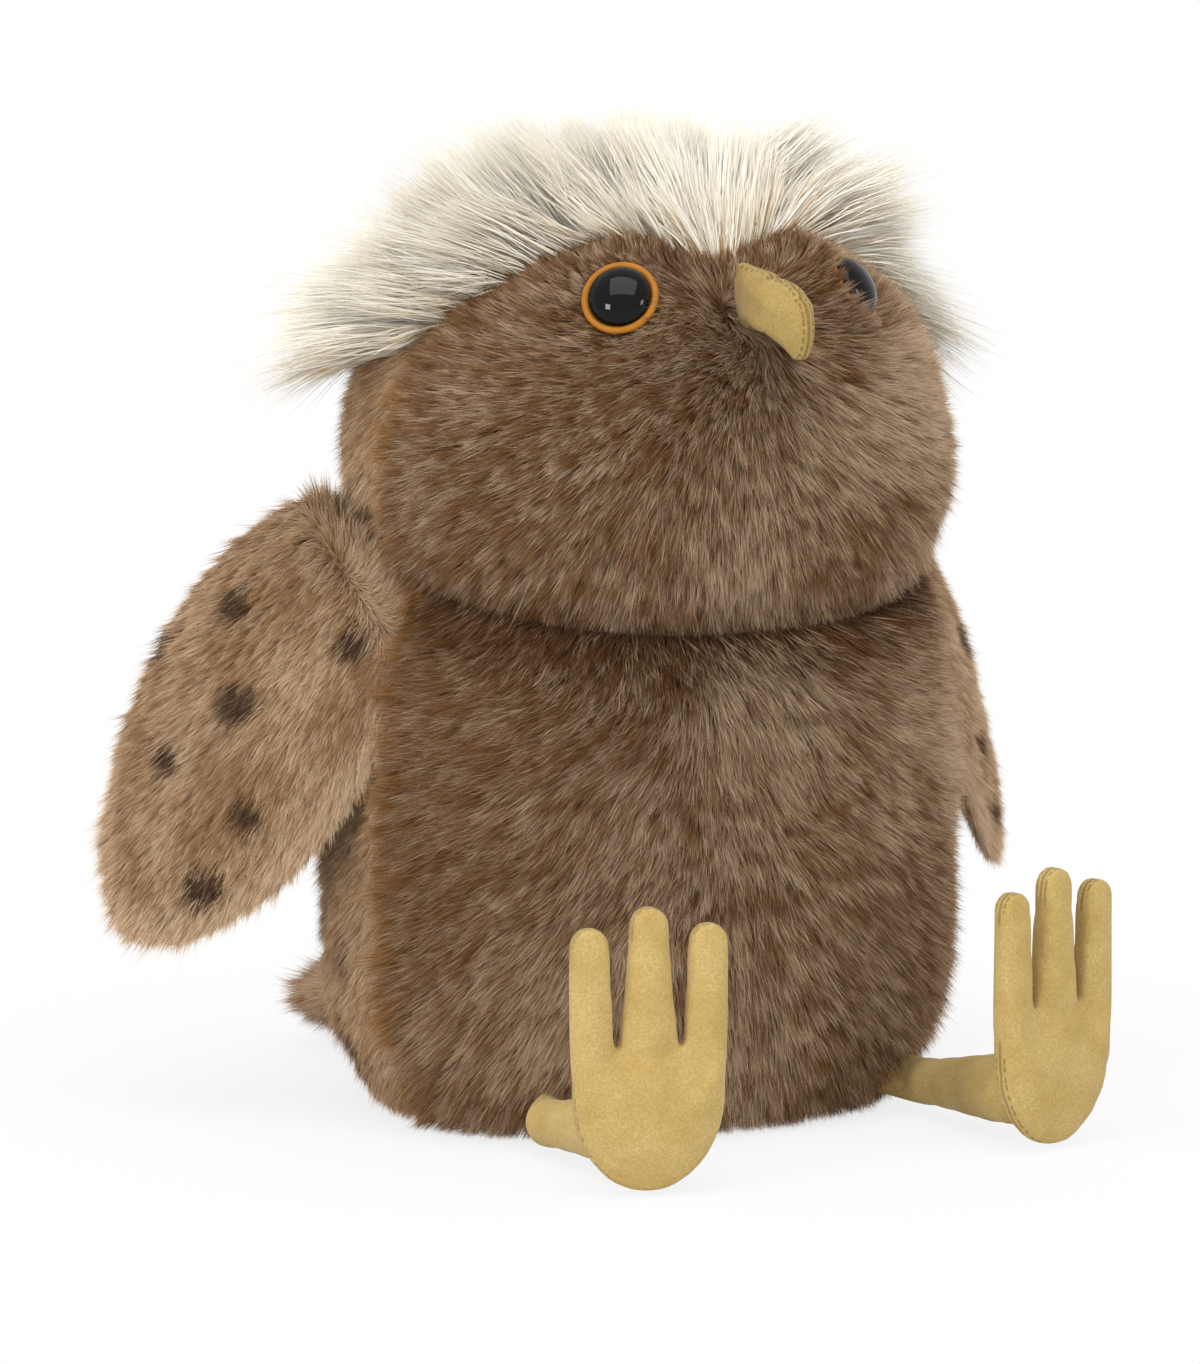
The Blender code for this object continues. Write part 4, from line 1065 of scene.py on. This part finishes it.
def crown_scalp(start, end):
    """One quarter of the crown's cloth, combed away from the beak's root and out over the sides."""
    angle, climb = panel_grid(math.radians(start), math.radians(end), brow_climb, lambda a: CROWN_TOP + 0 * a)
    points = lobe_points(HEAD_LOBE, angle, climb, SCALP_INSET)
    _, _, outward = lobe_frame(HEAD_LOBE, angle, climb)
    away = points - BEAK_ROOT
    away = unit(away - outward * (away * outward).sum(axis=-1, keepdims=True))
    above_seam = climb - brow_climb(angle)
    sides = eased((np.abs(angle) - 0.75) / 0.6)
    behind = eased((np.abs(angle) - 1.9) / 0.5)
    lean = np.clip(1.15 - 0.7 * above_seam, 0.35, 1.15)
    lean = (lean + (0.22 - lean) * sides * (1 - behind))[..., None]
    low_down = np.clip(1 - above_seam / 0.6, 0, 1) * sides
    level = np.zeros(points.shape)
    level[..., 0] = np.sign(start + end)
    sideways = level - outward * (level * outward).sum(axis=-1, keepdims=True)
    widest = LEFT_SPREAD if start + end > 0 else RIGHT_SPREAD
    spread = widest * eased((np.abs(angle) - 0.35) / 0.7) * (1 - behind)
    sag = [0, 0, 1] * (0.3 * low_down)[..., None]
    grown = 1 + LEFT_GROWTH * eased((angle - 0.5) / 0.6) * (1 - behind)
    mesh = grid_mesh("crown_scalp", points)
    paint(
        mesh,
        comb=unit(outward * 0.85 + away * lean + sideways * spread[..., None] - sag),
        pile=np.clip(0.75 + above_seam * 1.6, 0, 1.0) * (0.9 + 0.2 * noise_at(points, 0.02, 61)) * grown,
        tone=0.35 + 0.5 * noise_at(points, 0.02, 62),
        mark=np.clip(0.4 - above_seam * 3, 0.04, 0.4),
        edge=np.clip(0.25 - above_seam * 8, 0, 0.2),
        thick=np.ones(angle.shape),
    )
    return head_cloths(mesh)


for i, (quarter, start, end) in enumerate(CROWN_QUARTERS):
    pile = grow_pile(f"crown_pile_{quarter}", [crown_scalp(start, end)], CROWN_NAP, 140 + i)
    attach(pile, "head")
    if i == 0:
        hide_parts("crown_panel")


# Eyes. Each is an amber disc of moulded plastic with a rounded rim and a polished black dome set in it.
# Its shank goes through the face, where a washer locks it.
EYE_RADIUS = 0.012
EYE_RIM = 0.0022
EYE_SHANK = 0.004
PUPIL_CLEARANCE = 0.0006
EYE_STANDOFF = 0.0004
PUPIL_RADIUS = 0.0099
PUPIL_HEIGHT = 0.0052
EYE_STEPS = 72
CLOUD_SCALE = 260


def frame_at(origin, x_axis, y_axis):
    """A frame whose X and Y axes run along these directions, squared up from X."""
    x = x_axis.normalized()
    z = x.cross(y_axis).normalized()
    return Matrix.Translation(origin) @ Matrix((x, z.cross(x), z)).transposed().to_4x4()


def turned_mesh(name, profile, place):
    """A closed turning about Z from (radius, height) pairs that start and end on the axis."""
    turns = np.linspace(0, math.tau, EYE_STEPS, endpoint=False)
    radius, height = (np.array(v)[:, None] for v in zip(*profile))
    points = np.stack([radius * np.cos(turns), radius * np.sin(turns), height + 0 * turns], axis=-1)
    mesh = sealed(grid_mesh(name, points, True))
    mesh.transform(place)
    mesh.set_sharp_from_angle(angle=math.radians(60))
    return mesh


def moulded_material(name, colour, roughness, specular, speck):
    """Moulded plastic, with faint clouding in its colour and gloss."""
    material, tree, surface = new_material(name)
    cloud = clouded(tree, CLOUD_SCALE)
    deep, pale = ([c * (1 + change) for c in colour] for change in (-speck, speck))
    tree.links.new(mixed(tree, cloud, deep, pale), surface.inputs["Base Color"])
    gloss = node(tree, "ShaderNodeMapRange")
    gloss.inputs["To Min"].default_value = roughness * 0.8
    gloss.inputs["To Max"].default_value = roughness * 1.2
    tree.links.new(cloud, gloss.inputs["Value"])
    tree.links.new(gloss.outputs["Result"], surface.inputs["Roughness"])
    surface.inputs["Specular IOR Level"].default_value = specular
    return material


AMBER = moulded_material("amber plastic", (0.40, 0.15, 0.010), 0.4, 0.2, 0.15)
BLACK = moulded_material("black plastic", (0.002, 0.002, 0.002), 0.05, 0.2, 0.2)
for side_name, side in BOTH_SIDES:
    centre, out = (Vector(v) for v in eye_axis(side))
    level = Vector((0, 0, 1)).cross(out)
    seat = HEAD_PLACE @ frame_at(centre, level, out.cross(level))
    rim = [
        (EYE_RADIUS - EYE_RIM / 2 * (1 - math.sin(t)), EYE_STANDOFF + EYE_RIM / 2 * (1 - math.cos(t)))
        for t in np.linspace(0, math.pi, 10)
    ]
    well = EYE_STANDOFF + EYE_RIM * 0.75
    inner = [(PUPIL_RADIUS + PUPIL_CLEARANCE, EYE_STANDOFF + EYE_RIM), (PUPIL_RADIUS + 0.0001, well), (0, well)]
    back_of_eye = EYE_STANDOFF - EYE_SHANK
    base = [(0, back_of_eye), (EYE_RADIUS * 0.5, back_of_eye), (EYE_RADIUS * 0.6, EYE_STANDOFF)]
    profile = base + rim + inner
    iris = add_object(f"eye_ring_{side_name}", turned_mesh(f"eye_ring_{side_name}", profile, seat))
    iris.data.materials.append(AMBER)
    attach(iris, "head")
    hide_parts(f"eye_iris_{side_name}")
    foot = EYE_STANDOFF + EYE_RIM * 0.76
    rises = np.linspace(0, math.pi / 2, 16)
    high = PUPIL_HEIGHT + EYE_RIM * 0.2
    profile = [(0, foot)] + [(PUPIL_RADIUS * math.cos(t), foot + high * math.sin(t)) for t in rises]
    profile[-1] = (0, profile[-1][1])
    pupil = add_object(f"eye_dome_{side_name}", turned_mesh(f"eye_dome_{side_name}", profile, seat))
    pupil.data.materials.append(BLACK)
    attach(pupil, "head")
    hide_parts(f"eye_pupil_{side_name}")

hidden = {"eye_washer_right": BLACK, "eye_washer_left": BLACK, "pellet_pouch": PALE_TAN_CLOTH}
for name, finish in hidden.items():
    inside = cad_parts[name]
    inside.data.materials.clear()
    inside.data.materials.append(finish)


# Suede pads. The beak, legs and feet are cut from mustard suede cloth with a short even nap. A pad is
# sewn flat from two pieces and stuffed, so the cloth is blown up from the flat cut.
SEWING_SCALE = 10
GRAIN_SCALE = 1400
GRAIN_DEPTH = 0.0004
BRUSHED_SCALE = 90
STITCH_OFFSET = 0.0017
STITCH_HALF_WIDTH = 0.00035
STITCH_PITCH = 0.0030
CURVE_STEPS = 8


def suede_material(name, dark, base, pale):
    """Suede cloth: fine dark and pale grain over soft brushed patches, with dashed dark stitches and painted
    shade along the seam's groove.
    """
    material, tree, surface = new_material(name)
    maths = maths_in(tree)

    def ramp(value, low, high):
        made = node(tree, "ShaderNodeMapRange")
        made.inputs["From Min"].default_value = low
        made.inputs["From Max"].default_value = high
        tree.links.new(value, made.inputs["Value"])
        return made.outputs["Result"]

    def held(key):
        return node(tree, "ShaderNodeAttribute", attribute_name=key).outputs["Fac"]

    fine = clouded(tree, GRAIN_SCALE)
    patches = mixed(tree, ramp(clouded(tree, BRUSHED_SCALE, 3), 0.35, 0.65), base, pale)
    specks = mixed(tree, ramp(fine, 0.62, 0.40), patches, dark)
    soft = mixed(tree, 0.38, patches, specks)
    height = maths("ABSOLUTE", held("seam_height"))
    seam_groove_and_shade = maths("MULTIPLY", ramp(height, 0.0007, 0.0002), held("seam_near"))
    off_row = maths("ABSOLUTE", maths("SUBTRACT", height, STITCH_OFFSET))
    beside = maths("LESS_THAN", off_row, STITCH_HALF_WIDTH)
    dashed = maths("LESS_THAN", maths("FRACT", maths("DIVIDE", held("seam_run"), STITCH_PITCH)), 0.6)
    stitch = maths("MULTIPLY", maths("MULTIPLY", beside, dashed), held("seam_near"))
    # The stitches are dark thread; the darkening along the groove is painted shade in the seam's crease.
    seam = maths("MULTIPLY", maths("MAXIMUM", seam_groove_and_shade, stitch), 0.55)
    tree.links.new(mixed(tree, seam, soft, [c * 0.5 for c in dark]), surface.inputs["Base Color"])
    raise_surface(tree, surface, maths("SUBTRACT", fine, seam_groove_and_shade), 0.55, GRAIN_DEPTH)
    surface.inputs["Roughness"].default_value = 0.85
    surface.inputs["Specular IOR Level"].default_value = 0.2
    surface.inputs["Sheen Weight"].default_value = 0.15
    surface.inputs["Sheen Roughness"].default_value = 0.4
    return material


SUEDE = suede_material("mustard suede", (0.34, 0.215, 0.055), (0.51, 0.355, 0.12), (0.59, 0.43, 0.17))


def evaluated_mesh(piece):
    bpy.context.view_layer.update()
    graph = bpy.context.evaluated_depsgraph_get()
    return bpy.data.meshes.new_from_object(piece.evaluated_get(graph), depsgraph=graph)


def mesh_points(mesh):
    held = np.zeros(len(mesh.vertices) * 3, np.float32)
    mesh.vertices.foreach_get("co", held)
    return held.reshape(-1, 3).astype(float)


def set_points(mesh, points):
    mesh.vertices.foreach_set("co", points.astype(np.float32).ravel())
    mesh.update()


def stuffed_pad(name, outline, half, grain, pressure, frames, swell, place, slim_root=0.0):
    """A pad blown up from a flat cut: its outline, half its start thickness, and how far it may swell.
    It may be held slim up to a distance from its root."""
    bm = bmesh.new()
    low = [bm.verts.new((p.x * SEWING_SCALE, p.y * SEWING_SCALE, -half * SEWING_SCALE)) for p in outline]
    high = [bm.verts.new((p.x * SEWING_SCALE, p.y * SEWING_SCALE, half * SEWING_SCALE)) for p in outline]
    bm.faces.new(low[::-1])
    bm.faces.new(high)
    for i in range(len(low)):
        j = (i + 1) % len(low)
        bm.faces.new((low[i], low[j], high[j], high[i]))
    mesh = bpy.data.meshes.new(name)
    bm.to_mesh(mesh)
    bm.free()
    pad = add_object(name, mesh)
    remesh = pad.modifiers.new("even cloth", "REMESH")
    remesh.mode = "VOXEL"
    remesh.voxel_size = grain * SEWING_SCALE
    flat = evaluated_mesh(pad)
    pad.modifiers.clear()
    pad.data = flat
    bpy.data.meshes.remove(mesh)
    start = mesh_points(flat)
    cloth = pad.modifiers.new("stuffing", "CLOTH")
    cloth.settings.use_pressure = True
    cloth.settings.uniform_pressure_force = pressure
    cloth.settings.effector_weights.gravity = 0
    cloth.point_cache.frame_start = 1
    cloth.point_cache.frame_end = frames
    for step in range(1, frames + 1):
        scene.frame_set(step)
    blown = mesh_points(evaluated_mesh(pad))
    scene.frame_set(1)
    pad.modifiers.clear()
    move = blown - start
    far = np.linalg.norm(move, axis=-1, keepdims=True) / (swell * SEWING_SCALE)
    set_points(flat, (start + move / np.maximum(far, 1)) / SEWING_SCALE)
    smooth = pad.modifiers.new("even", "SMOOTH")
    smooth.iterations = 4
    finer = pad.modifiers.new("finer", "SUBSURF")
    finer.levels = finer.render_levels = 1
    done = evaluated_mesh(pad)
    pad.modifiers.clear()
    pad.data = done
    bpy.data.meshes.remove(flat)
    done.name = name
    points = mesh_points(done)
    if slim_root:
        points[:, 2] *= 0.7 + 0.3 * eased(points[:, 0] / slim_root)
        set_points(done, points)
    rim = np.array([tuple(p) for p in outline])
    steps = np.linalg.norm(np.roll(rim, -1, axis=0) - rim, axis=-1)
    runs = np.cumsum(steps)
    gaps = np.linalg.norm(points[:, None, :2] - rim[None], axis=-1)
    nearest = gaps.argmin(axis=1)
    near_rim = eased((0.006 - gaps.min(axis=1)) / 0.003)
    for key, values in (("seam_height", points[:, 2]), ("seam_run", runs[nearest]), ("seam_near", near_rim)):
        done.attributes.new(key, "FLOAT", "POINT").data.foreach_set("value", values.astype(np.float32))
    done.transform(place)
    done.shade_smooth()
    return pad


def arc(centre, across, up, start, end, steps):
    turns = np.radians(np.linspace(start, end, steps + 1))
    return [Vector((centre[0] + across * math.cos(t), centre[1] + up * math.sin(t))) for t in turns]


def closed_curve(points):
    """A smooth closed outline through points, as a Catmull-Rom curve."""
    count = len(points)
    curve = []
    for i in range(count):
        before, start, end, after = (Vector(points[(i + k) % count]) for k in (-1, 0, 1, 2))
        for step in range(CURVE_STEPS):
            t = step / CURVE_STEPS
            squared = (2 * before - 5 * start + 4 * end - after) * t**2
            cubed = (3 * start - before - 3 * end + after) * t**3
            curve.append((2 * start + (end - before) * t + squared + cubed) / 2)
    return curve


# Beak. It stands out under the brow and hooks down, seamed along its middle.
BEAK_LENGTH = 0.038
BEAK_DEPTH = 0.018
BEAK_OUTLINE = (
    (-0.10, -0.62), (0.20, -0.80), (0.50, -0.90), (0.74, -0.99), (0.92, -1.06), (1.03, -0.68),
    (1.00, -0.15), (0.82, 0.24), (0.50, 0.44), (0.15, 0.48), (-0.10, 0.38),
)
beak_outline = closed_curve([(out * BEAK_LENGTH, up * BEAK_DEPTH) for out, up in BEAK_OUTLINE])
forward = Vector((0, -math.cos(HEAD_TILT), math.sin(HEAD_TILT)))
upward = Vector((0, math.sin(HEAD_TILT), math.cos(HEAD_TILT)))
beak_place = HEAD_PLACE @ frame_at(Vector(BEAK_ROOT), forward, upward)
beak_pad = stuffed_pad(
    "beak_pad", beak_outline, half=0.0022, grain=0.0009, pressure=3.4, frames=16, swell=0.0052,
    place=beak_place, slim_root=0.020,
)
# The beak's suede is a darker copy of the mustard suede: painted shade on the beak.
SHADED_BEAK_SUEDE = suede_material("beak suede with painted shade", (0.24, 0.15, 0.038), (0.39, 0.265, 0.083), (0.46, 0.33, 0.12))
beak_pad.data.materials.append(SHADED_BEAK_SUEDE)
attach(beak_pad, "head")
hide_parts("beak_left", "beak_right", "beak_filling")


# Legs. Each is a suede tube, narrow where it is sewn on under the belly and wide at the foot.
HIP_RADIUS = 0.0072
HIP_TUCK = 0.014
HIP_TUCK_IN = 0.014
HIP_TUCK_UP = 0.006
ANKLE_RADIUS = 0.0108
FOOT_STAND_OFF = 0.0154
FOOT_FLOOR_GAP = 0.0008
HIP = Vector((0.068, -0.062818, 0.0098))
ANKLE = Vector((0.068, -0.115818, 0.016))
LEG_SIDES = 48
SLACK = 0.0002


def leg_mesh(name, side):
    """A widening tube with rounded ends, slight slack rings where it bends, and its root turned in under
    the belly."""
    start = Vector((side * HIP.x, HIP.y, HIP.z))
    end = Vector((side * ANKLE.x, ANKLE.y, ANKLE.z))
    along = (end - start).normalized()
    over = Vector((1, 0, 0)).cross(along)
    run = (end - start).length
    turns = np.linspace(0, math.tau, LEG_SIDES, endpoint=False)
    rings = []
    caps = np.linspace(-math.pi / 2, 0, 9)
    stations = [(HIP_RADIUS * math.sin(t) - HIP_TUCK, HIP_RADIUS * math.cos(t)) for t in caps]
    stations += [(-HIP_TUCK * (1 - s), HIP_RADIUS) for s in np.linspace(0, 1, 9)[1:]]
    for s in np.linspace(0, 1, 28)[1:-1]:
        slack = SLACK * math.sin(s * 26) * (1 - 0.6 * math.sin(math.pi * s))
        stations.append((run * s, HIP_RADIUS + (ANKLE_RADIUS - HIP_RADIUS) * eased(s) + slack))
    stations += [(run + ANKLE_RADIUS * math.sin(t), ANKLE_RADIUS * math.cos(t)) for t in -caps[::-1]]
    for distance, radius in stations:
        tucked = eased(-distance / HIP_TUCK)
        shift = tucked * np.array((-side * HIP_TUCK_IN, 0, HIP_TUCK_UP))
        centre = np.array(start + along * distance) + shift
        ring = np.outer(np.cos(turns), (1, 0, 0)) + np.outer(np.sin(turns), over)
        rings.append(centre + ring * radius)
    return sealed(grid_mesh(name, np.array(rings), True))


# Feet. Each stands on its heel, cut flat with three long toes and stuffed, its seam round the edge.
FOOT_TOE_OUT = math.radians(14)
FOOT_RISE = FOOT_FLOOR_GAP - 0.016
SOLE_HALF_WIDTH = 0.0245
SOLE_RISE = 0.031
TOE_RADIUS = 0.0058
TOE_SPACING = 0.0202
SIDE_TOE = 0.081
MIDDLE_TOE = 0.087
FORK = 0.040
FORK_RADIUS = 0.0009


def foot_outline():
    """The foot's cut, from the heel round the toes, with the heel at the floor."""
    gap = TOE_SPACING
    parts = arc((0, SOLE_RISE), SOLE_HALF_WIDTH, SOLE_RISE, -180, 0, 48)
    parts += arc((gap, SIDE_TOE - TOE_RADIUS), TOE_RADIUS, TOE_RADIUS, 0, 180, 16)
    parts += arc((gap / 2, FORK), FORK_RADIUS, FORK_RADIUS, 0, -180, 6)
    parts += arc((0, MIDDLE_TOE - TOE_RADIUS), TOE_RADIUS, TOE_RADIUS, 0, 180, 16)
    parts += arc((-gap / 2, FORK), FORK_RADIUS, FORK_RADIUS, 0, -180, 6)
    parts += arc((-gap, SIDE_TOE - TOE_RADIUS), TOE_RADIUS, TOE_RADIUS, 0, 180, 16)
    return [p + Vector((0, FOOT_RISE)) for p in parts]


for side_name, side in BOTH_SIDES:
    leg = add_object(f"leg_pad_{side_name}", leg_mesh(f"leg_pad_{side_name}", side))
    leg.data.materials.append(SUEDE)
    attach(leg, f"leg_{side_name}")
    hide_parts(f"leg_cover_{side_name}", f"leg_filling_{side_name}")
    across = Matrix.Rotation(side * FOOT_TOE_OUT, 3, "Z") @ Vector((1, 0, 0))
    ankle = frame_at(Vector((side * ANKLE.x, ANKLE.y, ANKLE.z)), across, Vector((0, 0, 1)))
    stand_off = Matrix.Translation((0, 0, FOOT_STAND_OFF))
    foot = stuffed_pad(
        f"foot_pad_{side_name}", foot_outline(), half=0.0034, grain=0.0013, pressure=1.6, frames=12,
        swell=0.0036, place=ankle @ stand_off,
    )
    foot.data.materials.append(SUEDE)
    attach(foot, f"foot_{side_name}")
    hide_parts(f"foot_sole_{side_name}", f"foot_instep_{side_name}", f"foot_filling_{side_name}")


# Wings. Each is a leaf-shaped pad of spotted tan pile outside and plain pale tan pile inside, whose
# lining wraps round the front edge. It is sewn to the side along its slanted root.
WING_LENGTH = 0.151
WING_WIDTH = 0.089
WING_OUTER_DOME = 0.0115
WING_INNER_DOME = 0.0065
WING_ROOT = Vector((0.0945, 0.010, 0.181))
WING_SPREAD = math.radians(24)
WING_TRAIL = math.radians(17)
WING_SWEEP = math.radians(25)
WING_SLANT = math.radians(22)
WING_LIFTS = {-1: 0.0, 1: math.radians(4.5)}
WING_SHIFT = np.array((0.0016, -0.0070))
WING_SCALP_INSET = 0.0026
WING_ROOT_LAP = 0.004
LEFT_WING_OUT = 0.0025
ROOT_REACH = 0.010
FLATTENED = np.array((1, 1, 0.3))
WING_NAP = {**TAN_NAP, "Density": 8.5e6, "Length": 0.0070, "Width": 0.00029, "Tone Spread": 0.75}
LINING_NAP = {
    **TAN_NAP, "Finish": PALE_TAN_PILE, "Density": 5.5e6, "Length": 0.0055, "Tuft Size": 0.0022,
    "Tuft Pull": 0.6, "Stray": 0.22, "Tuft Stray": 0.3, "Tone Spread": 0.6,
}
WING_OUTLINE = (
    (0.16, -0.02), (0.40, 0.09), (0.52, 0.31), (0.52, 0.55), (0.43, 0.77), (0.29, 0.92), (0.10, 0.99),
    (-0.10, 0.95), (-0.29, 0.82), (-0.43, 0.62), (-0.48, 0.40), (-0.46, 0.22), (-0.36, 0.08),
)
WING_SPOTS = (
    (0.0072, 0.0457), (-0.0264, 0.0210), (-0.0174, 0.0599), (-0.0170, 0.0915), (-0.0468, 0.0793),
    (-0.0560, 0.1065), (0.0153, 0.0733), (0.0075, 0.0037), (-0.0592, 0.1278),
)
PAD_ROWS = 26


def wing_place(side):
    """The wing's frame: X along its sewn root, Y into the wing, and its flat on XY."""
    along = Vector((math.tan(WING_SPREAD) * side, math.tan(WING_TRAIL), -1)).normalized()
    heading = Vector((side * math.cos(WING_SWEEP), -math.sin(WING_SWEEP), 0))
    outward = (heading - along * heading.dot(along)).normalized()
    rearward = outward.cross(along) * side
    hinge = rearward * math.cos(WING_SLANT) - along * math.sin(WING_SLANT)
    hanging = rearward * math.sin(WING_SLANT) + along * math.cos(WING_SLANT)
    into = Matrix.Rotation(-side * WING_LIFTS[side], 3, hinge) @ hanging
    return frame_at(Vector((side * WING_ROOT.x, WING_ROOT.y, WING_ROOT.z)), hinge, into)


def pad_outline(shares, width, length, slant, shift):
    """A smooth outline from shares of a width and a length, turned, moved and cut off past the root."""
    turn = Matrix.Rotation(slant, 2)
    points = [turn @ Vector((across * width, down * length)) + Vector(shift) for across, down in shares]
    return np.array([(p.x, max(p.y, -WING_ROOT_LAP)) for p in closed_curve(points)])


def drawn_in(outline, distance):
    """A counter-clockwise outline moved in along its normals."""
    along = unit(np.roll(outline, -1, axis=0) - np.roll(outline, 1, axis=0))
    return outline + np.stack([-along[:, 1], along[:, 0]], axis=-1) * distance


def domed(outline, height, side, fullness):
    """Rows of points from the outline up over a dome to its middle."""
    share = np.linspace(0, 1, PAD_ROWS)[:, None]
    share = 1 - (1 - share) ** 1.3
    middle = outline.mean(axis=0)
    flat = middle + (outline[None] - middle) * (1 - share[..., None])
    level = side * height * (1 - (1 - share) ** 2) ** fullness + 0 * outline[None, :, 0]
    return np.concatenate([flat, level[..., None]], axis=-1), share


def closed_pad(name, outline, up, down, place, fullness=0.85):
    """A pad closed over both faces."""
    above, _ = domed(outline, up, 1, fullness)
    below, _ = domed(outline, down, -1, fullness)
    points = np.concatenate([above[::-1], below[1:]])
    mesh = sealed(grid_mesh(name, points, True))
    mesh.transform(place)
    return mesh


def pad_scalp(name, outline, height, side, place, along, tone_seed, marks, edge, fullness=0.85):
    """A scalp over one face of a pad, combed along it and outwards over its root."""
    points, share = domed(outline, height, side, fullness)
    ring = np.concatenate([points, points[:, :1]], axis=1)
    rows = np.gradient(ring, axis=0)[:, :-1]
    columns = np.roll(points, -1, axis=1) - np.roll(points, 1, axis=1)
    outward = unit(np.cross(columns, rows))
    outward *= np.where((outward[..., 2:] * side).mean() < 0, -1, 1)
    outward[-1] = (0, 0, side)
    rimward = points - points[-1]
    rimward[..., 2] = 0
    at_root = eased((ROOT_REACH - points[..., 1]) / ROOT_REACH)[..., None] * (share[..., None] < 0.2)
    spill = (0.35 + at_root) * unit(rimward) * (1 - share[..., None])
    way = unit(np.array(along) * (1 - 0.9 * at_root) + spill)
    way = unit(way - outward * (way * outward).sum(axis=-1, keepdims=True))
    lift = 0.25 + 0.3 * noise_at(points, 0.025, tone_seed) + 0.3 * at_root[..., 0]
    comb = way * np.cos(lift)[..., None] + outward * np.sin(lift)[..., None]
    mesh = grid_mesh(name, points, True)
    places = [np.array((*mark, side * height * 0.8)) * FLATTENED for mark in marks]
    radii = [SPOT_RADIUS * (0.85 + 0.12 * (i % 3)) for i in range(len(places))]
    paint(
        mesh,
        comb=turned(place, comb),
        pile=(1 + 0.2 * at_root[..., 0]) * (0.85 + 0.3 * noise_at(points, 0.03, tone_seed + 1)),
        tone=0.25 + 0.5 * noise_at(points, 0.02, tone_seed + 2),
        mark=spotted(points * FLATTENED, places, radii),
        edge=edge(points, share + 0 * points[..., 0]),
        thick=np.ones(points.shape[:-1]),
    )
    mesh.transform(place)
    return mesh


def front_edge(points, share):
    """The chance of lining fibres near the front edge of the outer face."""
    front = np.clip((0.012 - points[..., 0]) / 0.02, 0, 1)
    return np.clip((0.17 - share) / 0.05, 0, 0.97) * front


def no_edge(points, share):
    return 0 * share


wing_outline = pad_outline(WING_OUTLINE, WING_WIDTH, WING_LENGTH, WING_SLANT, WING_SHIFT)
wing_core = drawn_in(wing_outline, WING_SCALP_INSET)
wing_core[:, 1] = np.maximum(wing_core[:, 1], -WING_ROOT_LAP)
WING_COMB = (-0.3746, 0.9272, 0)
wing_spots = np.array(WING_SPOTS) + WING_SHIFT
for side_name, side in BOTH_SIDES:
    place = wing_place(side)
    outer = -side
    if side > 0:
        place = place @ Matrix.Translation((0, 0, outer * LEFT_WING_OUT))
    domes = (WING_OUTER_DOME - WING_SCALP_INSET, WING_INNER_DOME - WING_SCALP_INSET)
    up, down = domes if outer > 0 else domes[::-1]
    pad = add_object(f"wing_pad_{side_name}", closed_pad(f"wing_pad_{side_name}", wing_core, up, down, place))
    pad.data.materials.append(TAN_CLOTH)
    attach(pad, f"wing_{side_name}")
    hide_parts(f"wing_filling_{side_name}")
    cloth = pad_scalp("wing_scalp", wing_core, domes[0], outer, place, WING_COMB, 70, wing_spots, front_edge)
    pile = grow_pile(f"wing_pile_{side_name}", [cloth], WING_NAP, 150 + side)
    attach(pile, f"wing_{side_name}")
    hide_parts(f"wing_outer_{side_name}")
    cloth = pad_scalp("wing_scalp", wing_core, domes[1], -outer, place, WING_COMB, 80, (), no_edge)
    pile = grow_pile(f"wing_lining_pile_{side_name}", [cloth], LINING_NAP, 160 + side)
    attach(pile, f"wing_{side_name}")
    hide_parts(f"wing_lining_{side_name}")


# Tail. A short blunt pad of the spotted tan pile, sewn low on the back and sloping to the floor.
TAIL_HALF_WIDTH = 0.051
TAIL_LENGTH = 0.072
TAIL_DOME = 0.0105
TAIL_FULLNESS = 0.4
TAIL_ROOT = Vector((0, 0.077459, 0.030))
TAIL_SLOPE = math.radians(14)
TAIL_SPOTS = ((1, ((-0.022, 0.03), (0.02, 0.022), (0.012, 0.052))), (-1, ((0.01, 0.04),)))
TAIL_NAP = {**TAN_NAP, "Length": 0.0105, "Tuft Size": 0.0030, "Tuft Pull": 0.8}
TAIL_OUTLINE = (
    (-0.86, 0.0), (0.0, 0.0), (0.86, 0.0), (0.98, 0.30), (1.0, 0.62), (0.86, 0.88), (0.45, 0.98), (0.0, 1.0),
    (-0.45, 0.98), (-0.86, 0.88), (-1.0, 0.62), (-0.98, 0.30),
)
tail_way = Vector((0, math.cos(TAIL_SLOPE), -math.sin(TAIL_SLOPE)))
tail_place = frame_at(TAIL_ROOT, Vector((1, 0, 0)), tail_way)
tail_core = pad_outline(TAIL_OUTLINE, TAIL_HALF_WIDTH, TAIL_LENGTH, 0.0, (0.0, 0.0))
tail_core[:, 1] = np.maximum(tail_core[:, 1], 0.0)
tail_dome = TAIL_DOME - 0.001
tail_mesh = closed_pad("tail_pad", tail_core, tail_dome, tail_dome, tail_place, TAIL_FULLNESS)
tail_pad = add_object("tail_pad", tail_mesh)
tail_pad.data.materials.append(TAN_CLOTH)
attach(tail_pad, "tail")
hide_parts("tail_filling")
tail_cloths = [
    pad_scalp("tail_scalp", tail_core, tail_dome, face, tail_place, (0, 1, 0), 90, marks, no_edge, TAIL_FULLNESS)
    for face, marks in TAIL_SPOTS
]
pile = grow_pile("tail_pile", tail_cloths, TAIL_NAP, 170)
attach(pile, "tail")
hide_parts("tail_top", "tail_underside")
